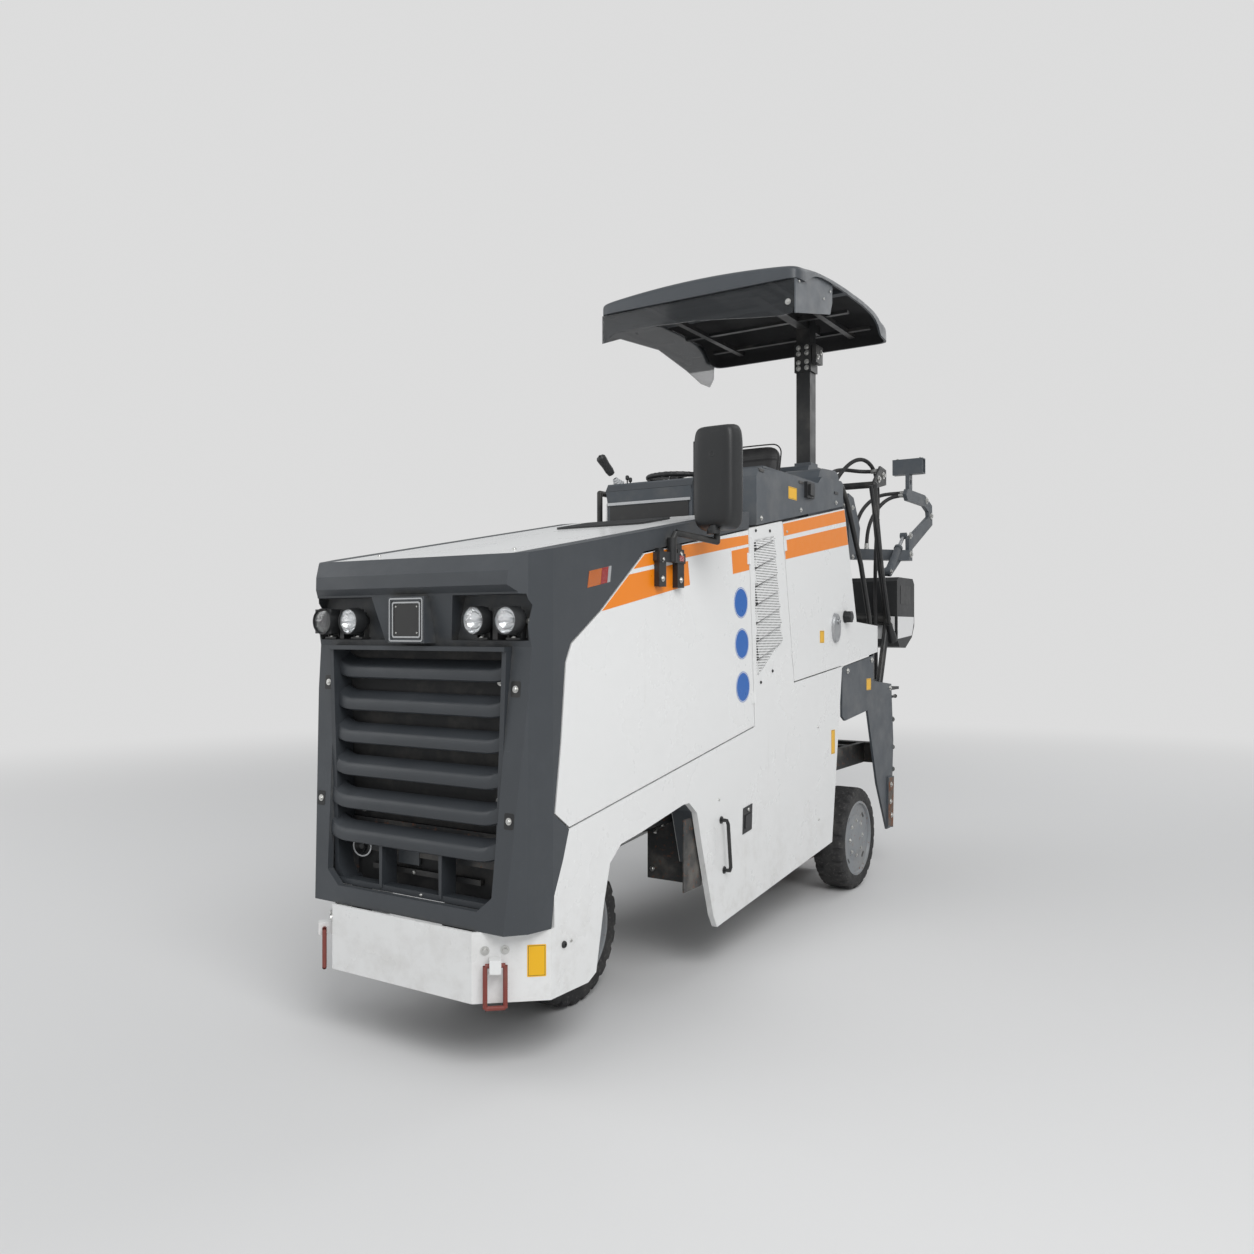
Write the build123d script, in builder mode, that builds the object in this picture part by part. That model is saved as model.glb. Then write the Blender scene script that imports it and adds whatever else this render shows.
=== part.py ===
"""Compact wheeled cold planer with a canopy, built from separate pieces.

Units are millimetres and +Z is up. The machine faces -Y and its left side is +X.
The origin lies on the ground, on the centre line, below the rear axle.
"""
import os
from math import atan2, cos, pi, radians, sin, tan

from build123d import *

os.makedirs("parts", exist_ok=True)

# ---------------------------------------------------------------- driving sizes
HALF_WIDTH = 610.0          # centre line to the outer face of the body
WHEELBASE = 2740.0
FRONT_OVERHANG = 850.0      # front axle to the bumper's face
TYRE_RADIUS = 330.0
TYRE_WIDTH = 200.0
RIM_RADIUS = 242.0
FRONT_TRACK = 360.0         # between the middles of the two front tyres
DRUM_RADIUS = 245.0         # bare tube, without the tool holders
CUTTING_RADIUS = 318.0      # at the tips of the tools
CUTTING_WIDTH = 500.0
DRUM_X = -50.0              # middle of the drum
DRUM_LIFT = 60.0            # tips above the ground when the machine is parked
DOOR_THICKNESS = 30.0
SKIRT_THICKNESS = 30.0
SHEET = 12.0                # bumper, fenders and plates
WALL = 30.0                 # moulded front
PANEL_GAP = 8.0             # between a door and its neighbours
SEAT_GAP = 0.3              # between pieces of different bodies that rest on each other
BODY_SLOPE = 0.18           # rise of hood and belt line towards the rear
HOOD_FRONT_Z = 1982.0       # height of the hood line at the bumper's face
HOOD_THICKNESS = 25.0
HOOD_HALF = 500.0
HOOD_START = 104.0
HOOD_END = 1925.0
SHOULDER = 90.0             # belt line below the hood line
RAIL_X = 420.0
RAIL_WIDTH = 40.0
RAIL_BOTTOM = 760.0
RAIL_TOP = 900.0
FLOOR = 15.0
BUMPER_BOTTOM = 285.0
BUMPER_TOP = 556.0
BUMPER_HALF = 384.0         # half of the straight middle of the bumper
BUMPER_CHAMFER = 200.0      # length of the corner, front to back
DECK_Z = 1930.0
DECK = 15.0
CANOPY_HALF = 675.0
CANOPY_FRONT = 2420.0
CANOPY_REAR = 4020.0
MAST_X = 220.0
MAST_BACK = 3630.0
MAST_SIZE = 120.0
POST_SIZE = 100.0

FRONT = -(WHEELBASE + FRONT_OVERHANG)
FRONT_AXLE_Y = -WHEELBASE
REAR_WHEEL_X = HALF_WIDTH - TYRE_WIDTH / 2
INNER_X = HALF_WIDTH - SKIRT_THICKNESS
AXLE_BACK = WHEELBASE + FRONT_OVERHANG
SIDES = (("left", 1), ("right", -1))


def back(distance):
    """Y of a point that lies this far behind the bumper's face."""
    return FRONT + distance


def hood_z(distance):
    """Height of the hood line this far behind the bumper's face."""
    return HOOD_FRONT_Z + BODY_SLOPE * distance


def belt_z(distance):
    """Height of the belt line, along the top of the side doors."""
    return hood_z(distance) - SHOULDER


def outline(points):
    """Side-view outline from rows of (distance behind the bumper's face, height)."""
    return [(back(distance), height) for distance, height in points]


def side_plane(sign, x):
    """Plane of a side panel's outer face: sketch axes are Y and Z."""
    return Plane.YZ.offset(sign * x)


# Side-view corners that neighbouring panels share: (distance behind the bumper's face, height)
NOSE_TIP = (318, 921)
CORNER_NOSE = [NOSE_TIP, (219, 991), (258, 1261), (290, 1579), (330, 1657), (534, 1787)]
CORNER_FOOT = [(205, BUMPER_TOP), (220, 679), (278, 807)]
DOOR_TOP_FRONT = (880, belt_z(880))
DOOR_TOP_REAR = (1931, belt_z(1931))
DOOR_FOOT_REAR = (2005, 1190)
FLAP_TOP_FRONT = (2353, belt_z(2353))
FLAP_FOOT_FRONT = (2521, 1402)
FLAP_TOP_REAR = (3330, belt_z(3330))
FLAP_FOOT_REAR = (3316, 1476)
TAIL_FOOT = (3968, 1547)

# ---------------------------------------------------------------- main frame
RAIL_FRONT = 160.0
RAIL_REAR = 4240.0
BEAM_DEPTH = 80.0
CROSS_BEAMS = (160, 800, 1480, 1960, 3020, 3300, 3880, 4160)    # front edge of each cross member
WIDE_BEAMS = (1960, 3020, 4160)                     # these carry the side panels
HORN_BOTTOM = 340.0
KINGPIN_RADIUS = 110.0
LEFT_LEG = (330.0, AXLE_BACK)                       # x, distance behind the bumper's face
RIGHT_LEG = (-376.0, 3090.0)
LEG_RADIUS = 50.0
COLLAR_RADIUS = 75.0
RAIL_MIDDLE = (RAIL_BOTTOM + RAIL_TOP) / 2
RAIL_HEIGHT = RAIL_TOP - RAIL_BOTTOM
CYLINDER_X = 200.0
CYLINDER_Z = 703.0
with BuildPart() as main_frame:
    for side, sign in SIDES:
        with Locations((sign * RAIL_X, back((RAIL_FRONT + RAIL_REAR) / 2), RAIL_MIDDLE)):
            Box(RAIL_WIDTH, RAIL_REAR - RAIL_FRONT, RAIL_HEIGHT)
        with Locations((sign * RAIL_X, back(RAIL_FRONT + BEAM_DEPTH / 2), (HORN_BOTTOM + RAIL_BOTTOM) / 2)):
            Box(RAIL_WIDTH, BEAM_DEPTH, RAIL_BOTTOM - HORN_BOTTOM)
        with Locations((sign * (RAIL_X - 40), back((100 + RAIL_FRONT) / 2 + 10), 440)):
            Box(RAIL_WIDTH + 20, RAIL_FRONT - 80, 120)
    for distance in CROSS_BEAMS:
        reach = INNER_X if distance in WIDE_BEAMS else RAIL_X
        with Locations((0, back(distance + BEAM_DEPTH / 2), RAIL_MIDDLE)):
            Box(2 * reach, BEAM_DEPTH, RAIL_HEIGHT)
    with Locations((0, back(90), 440)):
        Box(2 * (RAIL_X - 40), 60, 120)
    with Locations((0, FRONT_AXLE_Y, RAIL_MIDDLE)):
        Cylinder(KINGPIN_RADIUS + 20, RAIL_HEIGHT)
    with Locations((0, back(1150), RAIL_TOP + FLOOR / 2)):
        Box(2 * RAIL_X + RAIL_WIDTH, 1700, FLOOR)
    with Locations((CYLINDER_X, back(1520), (CYLINDER_Z + RAIL_BOTTOM) / 2)):
        Box(50, 40, RAIL_BOTTOM - CYLINDER_Z + 60)
    for x, distance in (LEFT_LEG, RIGHT_LEG):
        with Locations((x, back(distance), RAIL_MIDDLE)):
            Cylinder(COLLAR_RADIUS, RAIL_HEIGHT)
    for x, distance in (LEFT_LEG, RIGHT_LEG):
        with Locations((x, back(distance), RAIL_MIDDLE)):
            Cylinder(LEG_RADIUS + SEAT_GAP, 2 * RAIL_TOP, mode=Mode.SUBTRACT)
main_frame.part.label = "main_frame"
export_step(main_frame.part, "parts/main_frame.step")

# ---------------------------------------------------------------- engine and radiator
ENGINE_HEIGHT = 740.0
with BuildPart() as engine_block:
    with Locations((0, back(1080), RAIL_TOP + FLOOR + ENGINE_HEIGHT / 2)):
        Box(560, 1000, ENGINE_HEIGHT)
    fillet(engine_block.edges().filter_by(Axis.Z), 40)
engine_block.part.label = "engine_block"
export_step(engine_block.part, "parts/engine_block.step")

RADIATOR_FRONT = 215.0
RADIATOR_DEPTH = 80.0
with BuildPart() as radiator:
    with Locations((0, back(RADIATOR_FRONT + RADIATOR_DEPTH / 2), (RAIL_TOP + 1620) / 2)):
        Box(880, RADIATOR_DEPTH, 1620 - RAIL_TOP)
    with Locations((0, back(RADIATOR_FRONT), 1265)):
        Box(800, 30, 640, mode=Mode.SUBTRACT)
radiator.part.label = "radiator"
export_step(radiator.part, "parts/radiator.step")

# ---------------------------------------------------------------- bumper
TURN = tan(atan2(BUMPER_CHAMFER, HALF_WIDTH - BUMPER_HALF) / 2)
LEAN = tan(atan2(HALF_WIDTH - BUMPER_HALF, BUMPER_CHAMFER) / 2)
WING_END = BUMPER_CHAMFER + 22.0
CHAMFER_ANGLE = atan2(BUMPER_CHAMFER, HALF_WIDTH - BUMPER_HALF)
RING_ALONG = 88.0           # from the chamfer's front edge to the ring, along the chamfer
RING_OUT = 32.0             # ring's bar in front of the chamfer's face
RING_Z = 437.0
RING_ROD = 9.0
RING_HALF = 38.0            # middle of the link to the middle of its side
RING_DROP = 160.0
# Plan of one half: (x, distance behind the bumper's face)
BUMPER_PLAN = [
    (0, 0),
    (BUMPER_HALF, 0),
    (HALF_WIDTH, BUMPER_CHAMFER),
    (HALF_WIDTH, WING_END),
    (HALF_WIDTH - SHEET, WING_END),
    (HALF_WIDTH - SHEET, BUMPER_CHAMFER + SHEET * LEAN),
    (BUMPER_HALF - SHEET * TURN, SHEET),
    (0, SHEET),
]
with BuildPart() as front_bumper:
    with BuildSketch(Plane.XY.offset(BUMPER_BOTTOM)):
        for side, sign in SIDES:
            with BuildLine():
                Polyline([(sign * x, back(distance)) for x, distance in BUMPER_PLAN], close=True)
            make_face()
    extrude(amount=BUMPER_TOP - BUMPER_BOTTOM)
    for side, sign in SIDES:
        with Locations((sign * 300, back((SHEET + 60) / 2), 440)):
            Box(100, 60 - SHEET, 90)
    for side, sign in SIDES:
        along = (sign * cos(CHAMFER_ANGLE), sin(CHAMFER_ANGLE), 0)
        outward = (sign * sin(CHAMFER_ANGLE), -cos(CHAMFER_ANGLE), 0)
        face = (sign * BUMPER_HALF + along[0] * RING_ALONG, FRONT + along[1] * RING_ALONG, RING_Z)
        with BuildSketch(Plane(face, x_dir=along, z_dir=outward)):
            Rectangle(44, 52)
        extrude(amount=RING_OUT + 24)
        bar = (face[0] + outward[0] * RING_OUT, face[1] + outward[1] * RING_OUT, RING_Z)
        with BuildSketch(Plane(tuple(b - 40 * a for a, b in zip(along, bar)), z_dir=along)):
            Circle(RING_ROD + SEAT_GAP)
        extrude(amount=80, mode=Mode.SUBTRACT)
front_bumper.part.label = "front_bumper"
export_step(front_bumper.part, "parts/front_bumper.step")

# ---------------------------------------------------------------- moulded front
FACE_FOOT = 24.0            # front face at the bumper's top
FACE_LEAN = 0.081           # the face leans back this much for each unit of height
BROW_FRONT = 34.0


def face_back(height):
    """Distance of the leaning front face behind the bumper's face."""
    return FACE_FOOT + FACE_LEAN * (height - BUMPER_TOP)


def tray_back(height):
    """The same above the grille, where the face leans forward to the brow."""
    low = face_back(GRILLE_TOP)
    return low + (BROW_FOOT[0] - low) * (height - GRILLE_TOP) / (BROW_FOOT[1] - GRILLE_TOP)


BROW_FOOT = (66, 1850)
GRILLE_TOP = 1640.0
GRILLE_FOOT = 628.0
GRILLE_TOP_HALF = 490.0
GRILLE_FOOT_HALF = 452.0
LAMP_Z = 1742.0
LAMP_XS = (345.0, 505.0)
TRAY_BACK = 165.0
FRONT_FACE = [(FACE_FOOT, BUMPER_TOP), (face_back(GRILLE_TOP), GRILLE_TOP), BROW_FOOT]
BROW = [(BROW_FRONT, 1876), (BROW_FRONT + 4, 1930), (HOOD_START - 3, hood_z(HOOD_START - 3))]
SHOULDER_END = 1931.0
FRONT_PROFILE = (
    FRONT_FACE
    + BROW
    + [(SHOULDER_END, hood_z(SHOULDER_END)), DOOR_TOP_REAR, DOOR_TOP_FRONT]
    + CORNER_NOSE[::-1]
    + CORNER_FOOT[::-1]
)
# Plan of the right-hand half of the front: (x, distance behind the bumper's face)
FRONT_PLAN = [(0, -20), (480, -20), (580, 96), (HALF_WIDTH, 214), (HALF_WIDTH, 2000), (0, 2000)]
CORE_PLAN = [(0, -60), (462, -60), (546, 170), (HALF_WIDTH - WALL, 250), (HALF_WIDTH - WALL, 2100), (0, 2100)]
ROOF_WALL = 45.0
CORE_PROFILE = [
    (FACE_FOOT + WALL, 500),
    (FACE_FOOT + WALL, BUMPER_TOP),
    (face_back(1640) + WALL, 1640),
    (TRAY_BACK, 1660),
    (TRAY_BACK, hood_z(TRAY_BACK) - ROOF_WALL),
    (2100, hood_z(2100) - ROOF_WALL),
    (2100, 500),
]
with BuildPart() as front_core:
    with BuildSketch(side_plane(-1, HALF_WIDTH)):
        with BuildLine():
            Polyline(outline(CORE_PROFILE), close=True)
        make_face()
    extrude(amount=2 * HALF_WIDTH)
    with BuildSketch(Plane.XY.offset(400)):
        for side, sign in SIDES:
            with BuildLine():
                Polyline([(sign * x, back(distance)) for x, distance in CORE_PLAN], close=True)
            make_face()
    extrude(amount=2200, mode=Mode.INTERSECT)

with BuildPart() as front_fascia:
    with BuildSketch(side_plane(-1, HALF_WIDTH)):
        with BuildLine():
            Polyline(outline(FRONT_PROFILE), close=True)
        make_face()
    extrude(amount=2 * HALF_WIDTH)
    with BuildSketch(Plane.XY.offset(400)):
        for side, sign in SIDES:
            with BuildLine():
                Polyline([(sign * x, back(distance)) for x, distance in FRONT_PLAN], close=True)
            make_face()
    extrude(amount=2200, mode=Mode.INTERSECT)
    add(front_core.part, mode=Mode.SUBTRACT)
    # hood opening: a ledge round a through hole
    with BuildSketch(side_plane(-1, HOOD_HALF + 3)):
        with BuildLine():
            Polyline(
                outline([
                    (HOOD_START - 3, hood_z(HOOD_START - 3) + 60),
                    (HOOD_START - 3, hood_z(HOOD_START - 3) - HOOD_THICKNESS - SEAT_GAP),
                    (2000, hood_z(2000) - HOOD_THICKNESS - SEAT_GAP),
                    (2000, hood_z(2000) + 60),
                ]),
                close=True,
            )
        make_face()
    extrude(amount=2 * (HOOD_HALF + 3), mode=Mode.SUBTRACT)
    with Locations((0, back(1100), 2250)):
        Box(2 * (HOOD_HALF - 40), 1800, 900, mode=Mode.SUBTRACT)
    # grille opening
    with BuildSketch(Plane.XZ.offset(-back(400))):
        with BuildLine():
            Polyline([
                (-GRILLE_TOP_HALF, GRILLE_TOP),
                (GRILLE_TOP_HALF, GRILLE_TOP),
                (GRILLE_FOOT_HALF, GRILLE_FOOT + 60),
                (GRILLE_FOOT_HALF - 70, GRILLE_FOOT),
                (-GRILLE_FOOT_HALF + 70, GRILLE_FOOT),
                (-GRILLE_FOOT_HALF, GRILLE_FOOT + 60),
            ], close=True)
        make_face()
    extrude(amount=500, mode=Mode.SUBTRACT)
    # lamp recesses
    for side, sign in SIDES:
        with BuildSketch(Plane.XZ.offset(-back(TRAY_BACK - 20))):
            with BuildLine():
                Polyline([
                    (sign * 225, 1842),
                    (sign * 575, 1842),
                    (sign * 585, 1800),
                    (sign * 575, 1664),
                    (sign * 185, 1664),
                ], close=True)
            make_face()
        extrude(amount=400, mode=Mode.SUBTRACT)
front_fascia.part.label = "front_fascia"
export_step(front_fascia.part, "parts/front_fascia.step")

# ---------------------------------------------------------------- grille
SLAT_FEET = (1452, 1304, 1156, 1008, 856)       # lower edge of each louvre
SLAT_HEIGHT = 128.0
SLAT_DEPTH = 62.0
SLAT_THICKNESS = 14.0
LOW_RIBS = (-190, 0, 190)
GRILLE_DEPTH = 100.0
with BuildPart() as grille:
    for foot in SLAT_FEET:
        near = face_back(foot) + 6
        with BuildSketch(side_plane(-1, GRILLE_TOP_HALF - 1)):
            with BuildLine():
                Polyline(
                    outline([
                        (near + 16, foot),
                        (near, foot + 8),
                        (near + 6, foot + 30),
                        (near + 26, foot + SLAT_HEIGHT * 0.6),
                        (near + SLAT_DEPTH, foot + SLAT_HEIGHT),
                        (near + SLAT_DEPTH + SLAT_THICKNESS, foot + SLAT_HEIGHT),
                        (near + 26 + SLAT_THICKNESS, foot + SLAT_HEIGHT * 0.6),
                        (near + 22, foot + 26),
                    ]),
                    close=True,
                )
            make_face()
        extrude(amount=2 * (GRILLE_TOP_HALF - 1))
    for side, sign in SIDES:
        with BuildSketch(Plane.XZ.offset(-back(face_back(1640) + GRILLE_DEPTH))):
            with BuildLine():
                Polyline([
                    (sign * (GRILLE_TOP_HALF - 1), GRILLE_TOP),
                    (sign * (GRILLE_FOOT_HALF - 1), GRILLE_FOOT),
                    (sign * (GRILLE_FOOT_HALF - 76), GRILLE_FOOT),
                    (sign * (GRILLE_FOOT_HALF - 26), GRILLE_FOOT + 60),
                    (sign * (GRILLE_TOP_HALF - 26), GRILLE_TOP),
                ], close=True)
            make_face()
        extrude(amount=GRILLE_DEPTH + 10)
    for x in LOW_RIBS:
        with Locations((x, back(95), (GRILLE_FOOT + 890) / 2)):
            Box(20, 60, 890 - GRILLE_FOOT)
    with Locations((0, back(105), GRILLE_FOOT + 11)):
        Box(2 * GRILLE_FOOT_HALF, 40, 20)
    with BuildSketch(Plane.XZ.offset(-back(155))):
        with BuildLine():
            Polyline([
                (-GRILLE_TOP_HALF + 1, GRILLE_TOP),
                (GRILLE_TOP_HALF - 1, GRILLE_TOP),
                (GRILLE_FOOT_HALF - 1, GRILLE_FOOT + 60),
                (GRILLE_FOOT_HALF - 71, GRILLE_FOOT),
                (-GRILLE_FOOT_HALF + 71, GRILLE_FOOT),
                (-GRILLE_FOOT_HALF + 1, GRILLE_FOOT + 60),
            ], close=True)
        make_face()
    extrude(amount=400, mode=Mode.INTERSECT)
grille.part.label = "grille"
export_step(grille.part, "parts/grille.step")

# ---------------------------------------------------------------- headlights and badge plate
LAMP_RADIUS = 56.0
LAMP_BACK = TRAY_BACK - 20
with BuildPart() as headlights:
    for side, sign in SIDES:
        for x in LAMP_XS:
            with BuildSketch(Plane((sign * x, back(LAMP_BACK), LAMP_Z), x_dir=(0, 0, 1), z_dir=(1, 0, 0))):
                with BuildLine():
                    Polyline([
                        (0, 0), (30, 0), (44, 22), (LAMP_RADIUS, 40), (LAMP_RADIUS, 92), (46, 96), (30, 104), (0, 108),
                    ], close=True)
                make_face()
            revolve(axis=Axis((sign * x, back(LAMP_BACK), LAMP_Z), (0, 1, 0)))
headlights.part.label = "headlights"
export_step(headlights.part, "parts/headlights.step")

BADGE_FRONT = 40.0
BADGE_BOTTOM = 1652.0
BADGE_TOP = 1840.0
BADGE_HALF = 100.0
with BuildPart() as badge_plate:
    with BuildSketch(side_plane(-1, BADGE_HALF)):
        with BuildLine():
            Polyline(
                outline([
                    (BADGE_FRONT, BADGE_BOTTOM),
                    (BADGE_FRONT, BADGE_TOP),
                    (tray_back(BADGE_TOP) - SEAT_GAP, BADGE_TOP),
                    (tray_back(BADGE_BOTTOM) - SEAT_GAP, BADGE_BOTTOM),
                ]),
                close=True,
            )
        make_face()
    extrude(amount=2 * BADGE_HALF)
    with Locations((0, back(BADGE_FRONT), (BADGE_BOTTOM + BADGE_TOP) / 2)):
        Box(2 * BADGE_HALF - 36, 8, BADGE_TOP - BADGE_BOTTOM - 36, mode=Mode.SUBTRACT)
badge_plate.part.label = "badge_plate"
export_step(badge_plate.part, "parts/badge_plate.step")

# ---------------------------------------------------------------- hood
with BuildPart() as hood:
    with BuildSketch(side_plane(-1, HOOD_HALF)):
        with BuildLine():
            Polyline(
                outline([
                    (HOOD_START, hood_z(HOOD_START)),
                    (HOOD_END, hood_z(HOOD_END)),
                    (HOOD_END, hood_z(HOOD_END) - HOOD_THICKNESS),
                    (HOOD_START, hood_z(HOOD_START) - HOOD_THICKNESS),
                ]),
                close=True,
            )
        make_face()
    extrude(amount=2 * HOOD_HALF)
    chamfer(hood.faces().sort_by(Axis.Z)[-1].edges().filter_by(Axis.Y, reverse=True).sort_by(Axis.Y)[0], 8)
hood.part.label = "hood"
export_step(hood.part, "parts/hood.step")

# ---------------------------------------------------------------- side doors and flaps
DOOR_OUTLINE = CORNER_NOSE + [DOOR_TOP_FRONT, DOOR_TOP_REAR, DOOR_FOOT_REAR]
FLAP_OUTLINE = [
    FLAP_TOP_FRONT, FLAP_TOP_REAR, (3553, 1766), (3968, 1741), TAIL_FOOT, FLAP_FOOT_REAR, FLAP_FOOT_FRONT,
]
HINGE_OUT = 4.0             # hinge pins stand this far outside the body
HINGE_KNUCKLE = HINGE_OUT - SEAT_GAP
HINGE_LENGTH = 60.0
HINGE_LEAF = 34.0


def hinge_pair(sign, top, foot, door_side):
    """Two knuckles on the hinge line, with leaves that lie on the door's outer face.

    door_side is -1 where the door lies in front of the line and 1 where it lies behind.
    """
    run = (foot[0] - top[0], foot[1] - top[1])
    length = (run[0] ** 2 + run[1] ** 2) ** 0.5
    line = (0, run[0] / length, run[1] / length)
    with BuildPart() as pair:
        for share in (0.15, 0.85):
            middle = (sign * (HALF_WIDTH + HINGE_OUT), back(top[0] + share * run[0]), top[1] + share * run[1])
            start = tuple(m - HINGE_LENGTH / 2 * d for m, d in zip(middle, line))
            with BuildSketch(Plane(start, x_dir=(1, 0, 0), z_dir=line)):
                Circle(HINGE_KNUCKLE)
                with Locations((-sign * HINGE_OUT / 2, -door_side * HINGE_LEAF / 2)):
                    Rectangle(HINGE_OUT, HINGE_LEAF)
            extrude(amount=HINGE_LENGTH)
    return pair.part


for side, sign in SIDES:
    with BuildPart() as engine_door:
        with BuildSketch(side_plane(sign, HALF_WIDTH)):
            with BuildLine():
                Polyline(outline(DOOR_OUTLINE), close=True)
            make_face()
            offset(amount=-PANEL_GAP, kind=Kind.INTERSECTION, mode=Mode.REPLACE)
        extrude(amount=-sign * DOOR_THICKNESS)
        add(hinge_pair(sign, DOOR_TOP_REAR, DOOR_FOOT_REAR, -1))
    engine_door.part.label = f"{side}_engine_door"
    export_step(engine_door.part, f"parts/{side}_engine_door.step")

with BuildPart() as left_rear_door:
    with BuildSketch(side_plane(1, HALF_WIDTH)):
        with BuildLine():
            Polyline(outline(FLAP_OUTLINE), close=True)
        make_face()
        offset(amount=-PANEL_GAP, kind=Kind.INTERSECTION, mode=Mode.REPLACE)
    extrude(amount=-DOOR_THICKNESS)
    add(hinge_pair(1, FLAP_TOP_FRONT, FLAP_FOOT_FRONT, 1))
left_rear_door.part.label = "left_rear_door"
export_step(left_rear_door.part, "parts/left_rear_door.step")

# ---------------------------------------------------------------- side skirts
ARCH = [
    (1571, 232), (1529, 300), (1415, 656), (1364, 828), (1286, 887), (1228, 886),
    (847, 818), (695, 797), (610, 732), (566, 579), (507, 306), (450, 280), (WING_END, BUMPER_BOTTOM),
]
SKIRT_OUTLINE = (
    [(WING_END, BUMPER_TOP), (220, 679), (278, 807), NOSE_TIP, DOOR_FOOT_REAR, DOOR_TOP_REAR]
    + [FLAP_TOP_FRONT, FLAP_FOOT_FRONT, FLAP_FOOT_REAR, (3281, 1465), (3109, 387)]
    + ARCH
)
VENT_OUTLINE = [(1992, 2184), (2246, 2225), (2353, 1644), (2029, 1455)]
VENT_RECESS = 4.0
# Wheel-arch liner: its inner face, then its outer face back to the start
ARCH_LINER = [
    (572, 560), (608, 742), (694, 806), (846, 826), (1228, 892), (1290, 892), (1374, 832), (1458, 560),
    (1470, 560), (1385, 840), (1296, 905), (1225, 905), (840, 839), (688, 818), (598, 752), (560, 560),
]
LINER_WIDTH = 120.0
STEP_WIDTH = 400.0
STEP_MIDDLE = 2700.0
STEP_Z = (520.0, 860.0, 1200.0)     # tread heights of the recessed steps on the right side
STEP_CLEAR = 170.0
for side, sign in SIDES:
    with BuildPart() as skirt:
        with BuildSketch(side_plane(sign, HALF_WIDTH)):
            with BuildLine():
                Polyline(outline(SKIRT_OUTLINE), close=True)
            make_face()
            if side == "right":
                for z in STEP_Z:
                    with Locations((back(STEP_MIDDLE), z + STEP_CLEAR / 2)):
                        Rectangle(STEP_WIDTH, STEP_CLEAR, mode=Mode.SUBTRACT)
        extrude(amount=-sign * SKIRT_THICKNESS)
        with BuildSketch(side_plane(sign, HALF_WIDTH)):
            with BuildLine():
                Polyline(outline(VENT_OUTLINE), close=True)
            make_face()
        extrude(amount=-sign * VENT_RECESS, mode=Mode.SUBTRACT)
        with BuildSketch(side_plane(sign, INNER_X)):
            with BuildLine():
                Polyline(outline(ARCH_LINER), close=True)
            make_face()
        extrude(amount=-sign * LINER_WIDTH)
    skirt.part.label = f"{side}_skirt"
    export_step(skirt.part, f"parts/{side}_skirt.step")

with BuildPart() as right_rear_panel:
    with BuildSketch(side_plane(-1, HALF_WIDTH)):
        with BuildLine():
            Polyline(outline([
                FLAP_TOP_FRONT, (2500, belt_z(2500)), (2560, DECK_Z), (3330, DECK_Z), (3553, 1766),
                (3968, 1741), TAIL_FOOT, FLAP_FOOT_REAR, FLAP_FOOT_FRONT,
            ]), close=True)
        make_face()
        offset(amount=-1, kind=Kind.INTERSECTION, mode=Mode.REPLACE)
        with Locations((back(STEP_MIDDLE + 60), 1640)):
            Rectangle(STEP_WIDTH - 60, STEP_CLEAR, mode=Mode.SUBTRACT)
    extrude(amount=SKIRT_THICKNESS)
right_rear_panel.part.label = "right_rear_panel"
export_step(right_rear_panel.part, "parts/right_rear_panel.step")

STEP_DEPTH = 135.0
with BuildPart() as access_steps:
    for z in STEP_Z:
        with Locations((-INNER_X + STEP_DEPTH / 2, back(STEP_MIDDLE), z - 6)):
            Box(STEP_DEPTH, STEP_WIDTH + 40, 12)
    for distance in (STEP_MIDDLE - STEP_WIDTH / 2 - 14, STEP_MIDDLE + STEP_WIDTH / 2 + 14):
        with Locations((-INNER_X + STEP_DEPTH / 2, back(distance), 920)):
            Box(STEP_DEPTH, 12, 824)
access_steps.part.label = "access_steps"
export_step(access_steps.part, "parts/access_steps.step")

# ---------------------------------------------------------------- tanks, deck and cabinets
TANK_FRONT = 2010.0
TANK_REAR = 3320.0
with BuildPart() as tank_body:
    with Locations(((-320 + 560) / 2, back((TANK_FRONT + TANK_REAR) / 2), (RAIL_TOP + DECK_Z) / 2)):
        Box(880, TANK_REAR - TANK_FRONT, DECK_Z - RAIL_TOP)
tank_body.part.label = "tank_body"
export_step(tank_body.part, "parts/tank_body.step")

with BuildPart() as platform_deck:
    with Locations((0, back((2005 + TANK_REAR) / 2), DECK_Z + DECK / 2)):
        Box(2 * 565, TANK_REAR - 2005, DECK)
platform_deck.part.label = "platform_deck"
export_step(platform_deck.part, "parts/platform_deck.step")

CABINET_REAR = 3760.0
with BuildPart() as rear_cabinet:
    with Locations(((-440 + 260) / 2, back((TANK_REAR + CABINET_REAR) / 2), (RAIL_TOP + DECK_Z) / 2)):
        Box(700, CABINET_REAR - TANK_REAR, DECK_Z - RAIL_TOP)
    with Locations((20, back((TANK_REAR + 60 + CABINET_REAR) / 2), (DECK_Z + 2800) / 2)):
        Box(640, CABINET_REAR - TANK_REAR - 60, 2800 - DECK_Z)
    fillet(rear_cabinet.edges().filter_by(Axis.X).sort_by(Axis.Z)[-2:], 40)
    with Locations((MAST_X, back(MAST_BACK), 2450)):
        Box(MAST_SIZE + 2 * SEAT_GAP, MAST_SIZE + 2 * SEAT_GAP, 1000, mode=Mode.SUBTRACT)
rear_cabinet.part.label = "rear_cabinet"
export_step(rear_cabinet.part, "parts/rear_cabinet.step")

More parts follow.
